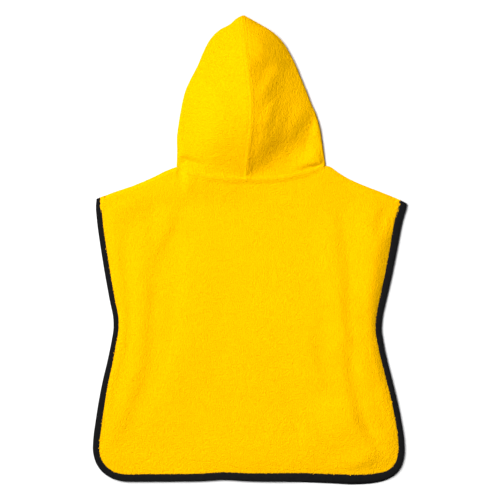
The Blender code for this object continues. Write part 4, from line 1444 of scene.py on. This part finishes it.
def bead(bm, place, turn, size):
    """A small rounded shape with a few faces, turned and stretched."""
    made = bmesh.ops.create_icosphere(bm, subdivisions=1, radius=1.0)
    matrix = Matrix.Translation(place) @ turn @ Matrix.Diagonal((*size, 1.0))
    bmesh.ops.transform(bm, matrix=matrix, verts=made["verts"])
    return made["verts"]


def loose_loops(bm):
    """Loops of pile that lie over the binding's inner edge, some of them in tufts."""
    loops = bpy.context.scene.poncho_loops
    chance = random.Random(loops.seed)
    edge = even_edge(LOOP_STATIONS)
    inner = edge.at(edge.width)
    stations = lengths(inner)
    top = BACK_BINDING_LEVEL + BINDING_TALL / 2 - LOOP_BELOW
    length, overhang = loops.size / MM, loops.overhang / MM
    for number in range(loops.count):
        at = (number + chance.random()) / loops.count * stations[-1]
        x, y, in_x, in_y = (np.interp(at, stations, column) for column in (*inner.T, *edge.inward.T))
        tuft = chance.random() < TUFT_CHANCE
        grown = chance.uniform(*LOOP_GROWN) * (TUFT_GROWN if tuft else 1.0)
        over = chance.uniform(-1.0, 1.0) * overhang + (TUFT_OVER if tuft else LOOP_OVER)
        place = (x - in_x * over, y - in_y * over, top + chance.uniform(0.0, LOOP_RISE))
        turn = Matrix.Rotation(math.atan2(in_y, in_x) + chance.uniform(-LOOP_TURN, LOOP_TURN), 4, "Z")
        bead(bm, place, turn, [length * half * grown for half in LOOP_HALVES])


# ---------------------------------------------------------------- stage


def add_floor(stage):
    """A round pale floor just below the cloth."""
    bm = bmesh.new()
    bmesh.ops.create_circle(bm, cap_ends=True, segments=FLOOR_SIDES, radius=FLOOR_RADIUS)
    bmesh.ops.translate(bm, vec=(0.0, 0.0, -FLOOR_BELOW), verts=bm.verts[:])
    mesh = bpy.data.meshes.new("floor")
    bm.to_mesh(mesh)
    bm.free()
    finish = Finish("white floor", roughness=0.9, specular=0.0)
    finish.feed(finish.shader.inputs["Base Color"], stage.floor_colour)
    mesh.materials.append(finish.material)
    floor = bpy.data.objects.new("floor", mesh)
    bpy.context.scene.collection.objects.link(floor)


def add_light(name, kind, place, **settings):
    """A light that shines from its place towards the middle of the floor."""
    data = bpy.data.lights.new(name, kind)
    for key, value in settings.items():
        setattr(data, key, value)
    light = bpy.data.objects.new(name, data)
    light.location = place
    light.rotation_euler = place.to_track_quat("Z", "Y").to_euler()
    light.visible_camera = False
    bpy.context.scene.collection.objects.link(light)


def set_world(stage):
    """White light from all round, and colours shown as they are set."""
    world = bpy.data.worlds.new("studio")
    world.use_nodes = True
    background = world.node_tree.nodes["Background"]
    background.inputs["Color"].default_value = (1.0, 1.0, 1.0, 1.0)
    background.inputs["Strength"].default_value = stage.ambient
    bpy.context.scene.world = world
    bpy.context.scene.view_settings.view_transform = "Standard"


def add_camera(stage):
    """A camera straight above, as high as it must be to frame the width that is set."""
    data = bpy.data.cameras.new("camera")
    data.lens = stage.lens
    data.sensor_width = SENSOR
    data.clip_end = VIEW_END
    camera = bpy.data.objects.new("camera", data)
    top = (BACK_BINDING_LEVEL + BINDING_TALL / 2) * MM
    camera.location = (stage.aside, 0.0, top + stage.framed * data.lens / data.sensor_width)
    bpy.context.scene.collection.objects.link(camera)
    bpy.context.scene.camera = camera


# ---------------------------------------------------------------- operators


class PONCHO_OT_panels(bpy.types.Operator):
    """Make the back and the front panel of terry"""

    bl_idname = "poncho.panels"
    bl_label = "Panels"

    def execute(self, _context):
        terry = terry_finish("panel terry")
        shares = even_shares(NECK_STATIONS)
        left, right = neck_points(-1, shares), neck_points(1, shares)
        neck = np.concatenate((left[::-1], right[1:]))
        back = panel_cloth("back_panel_terry", neck, back_level(neck), False, terry)
        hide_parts("back_panel")
        left, right = front_neck_points(-1, shares), front_neck_points(1, shares)
        neck = np.concatenate((left, right[::-1][1:]))
        front = panel_cloth("front_panel_terry", neck, front_level, True, terry)
        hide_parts("front_panel")
        return {"FINISHED"}


class PONCHO_OT_hood(bpy.types.Operator):
    """Make the two halves of the hood"""

    bl_idname = "poncho.hood"
    bl_label = "Hood"

    def execute(self, _context):
        terry = terry_finish("hood terry")
        for name, side, folds in (("hood_left", -1, HOOD_FOLDS_LEFT), ("hood_right", 1, HOOD_FOLDS_RIGHT)):
            half = hood_cloth(name + "_terry", side, folds, terry)
            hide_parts(name)
        return {"FINISHED"}


class PONCHO_OT_bindings(bpy.types.Operator):
    """Fold the bias tape round the sides and hem of each panel"""

    bl_idname = "poncho.bindings"
    bl_label = "Bindings"

    def execute(self, _context):
        cotton = tape_finish("binding cotton")
        for name, panel in (("binding_back", "back_panel_terry"), ("binding_front", "front_panel_terry")):
            tape = binding_tape(name + "_tape", name == "binding_front", cotton)
            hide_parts(name)
        return {"FINISHED"}


class PONCHO_OT_sewing(bpy.types.Operator):
    """Sew the stitch lines of the hood, the neck and the bindings"""

    bl_idname = "poncho.sewing"
    bl_label = "Sewing"

    def execute(self, context):
        sewing = context.scene.poncho_sewing
        objects = bpy.data.objects
        hood = [surface_tree(objects["hood_left_terry"]), surface_tree(objects["hood_right_terry"])]
        seam = smooth_curve(SEAM_ROWS)[:, [1, 0]]
        seam = seam[(seam[:, 1] > HOOD_STITCH_FROM) & (seam[:, 1] < HOOD_STITCH_TO)]
        bm = bmesh.new()
        for side in (-1, 1):
            stitch_line(bm, seam + (side * HOOD_STITCH, 0.0), hood)
        neck = smooth_curve(NECK_ROWS) + (0.0, NECK_STITCH)
        neck = neck[(neck[:, 0] > NECK_STITCH_FROM) & (neck[:, 0] < NECK_STITCH_TO)]
        stitch_line(bm, neck, hood)
        new_piece("terry_stitches", bm, thread_finish("terry thread", sewing.terry_thread))
        bm = bmesh.new()
        for name, front in (("binding_back_tape", False), ("binding_front_tape", True)):
            edge = even_edge(STITCH_STATIONS, front)
            line = edge.at(edge.width - BINDING_STITCH)
            stitch_line(bm, line, [surface_tree(objects[name])], upward=not front)
        new_piece("binding_stitches", bm, thread_finish("binding thread", sewing.tape_thread))
        return {"FINISHED"}


class PONCHO_OT_loops(bpy.types.Operator):
    """Pull loose loops of pile out over the inner edge of the binding"""

    bl_idname = "poncho.loops"
    bl_label = "Loose Loops"

    def execute(self, _context):
        bm = bmesh.new()
        loose_loops(bm)
        new_piece("loose_loops", bm, terry_finish("loop terry"))
        return {"FINISHED"}


class PONCHO_OT_stage(bpy.types.Operator):
    """Set up the floor, the lights and the camera straight above"""

    bl_idname = "poncho.stage"
    bl_label = "Stage"

    def execute(self, context):
        stage = context.scene.poncho_stage
        add_floor(stage)
        level = math.cos(stage.light_height)
        towards = Vector((level * math.cos(stage.light_turn), level * math.sin(stage.light_turn), 0.0))
        towards.z = math.sin(stage.light_height)
        add_light("even light", "SUN", towards * SUN_AWAY, energy=stage.sun, angle=stage.softness)
        near = Vector(stage.near)
        add_light("near light", "AREA", near, energy=stage.key, shape="DISK", size=NEAR_ACROSS)
        set_world(stage)
        add_camera(stage)
        return {"FINISHED"}


class PONCHO_PT_sidebar(bpy.types.Panel):
    """The pieces of the poncho and their settings"""

    bl_idname = "PONCHO_PT_sidebar"
    bl_label = "Hooded Bath Poncho"
    bl_space_type = "VIEW_3D"
    bl_region_type = "UI"
    bl_category = "Poncho"

    def draw(self, context):
        for title, settings, operators in STEPS:
            box = self.layout.box()
            box.label(text=title)
            group = getattr(context.scene, settings)
            for name in group.__annotations__:
                box.prop(group, name)
            for operator in operators:
                box.operator(operator.bl_idname)


GROUPS = {
    "poncho_terry": PonchoTerry,
    "poncho_loops": PonchoLoops,
    "poncho_binding": PonchoBinding,
    "poncho_sewing": PonchoSewing,
    "poncho_stage": PonchoStage,
}
STEPS = (
    ("Terry", "poncho_terry", (PONCHO_OT_panels, PONCHO_OT_hood)),
    ("Binding", "poncho_binding", (PONCHO_OT_bindings,)),
    ("Sewing", "poncho_sewing", (PONCHO_OT_sewing,)),
    ("Loose Loops", "poncho_loops", (PONCHO_OT_loops,)),
    ("Stage", "poncho_stage", (PONCHO_OT_stage,)),
)
CLASSES = (
    *GROUPS.values(),
    *(operator for _title, _settings, operators in STEPS for operator in operators),
    PONCHO_PT_sidebar,
)


def register():
    for cls in CLASSES:
        bpy.utils.register_class(cls)
    for name, group in GROUPS.items():
        setattr(bpy.types.Scene, name, bpy.props.PointerProperty(type=group))


def unregister():
    for name in GROUPS:
        delattr(bpy.types.Scene, name)
    for cls in reversed(CLASSES):
        bpy.utils.unregister_class(cls)


def main():
    register()
    bpy.ops.poncho.panels()
    bpy.ops.poncho.hood()
    bpy.ops.poncho.bindings()
    bpy.ops.poncho.sewing()
    bpy.ops.poncho.loops()
    bpy.ops.poncho.stage()


if __name__ == "__main__":
    main()
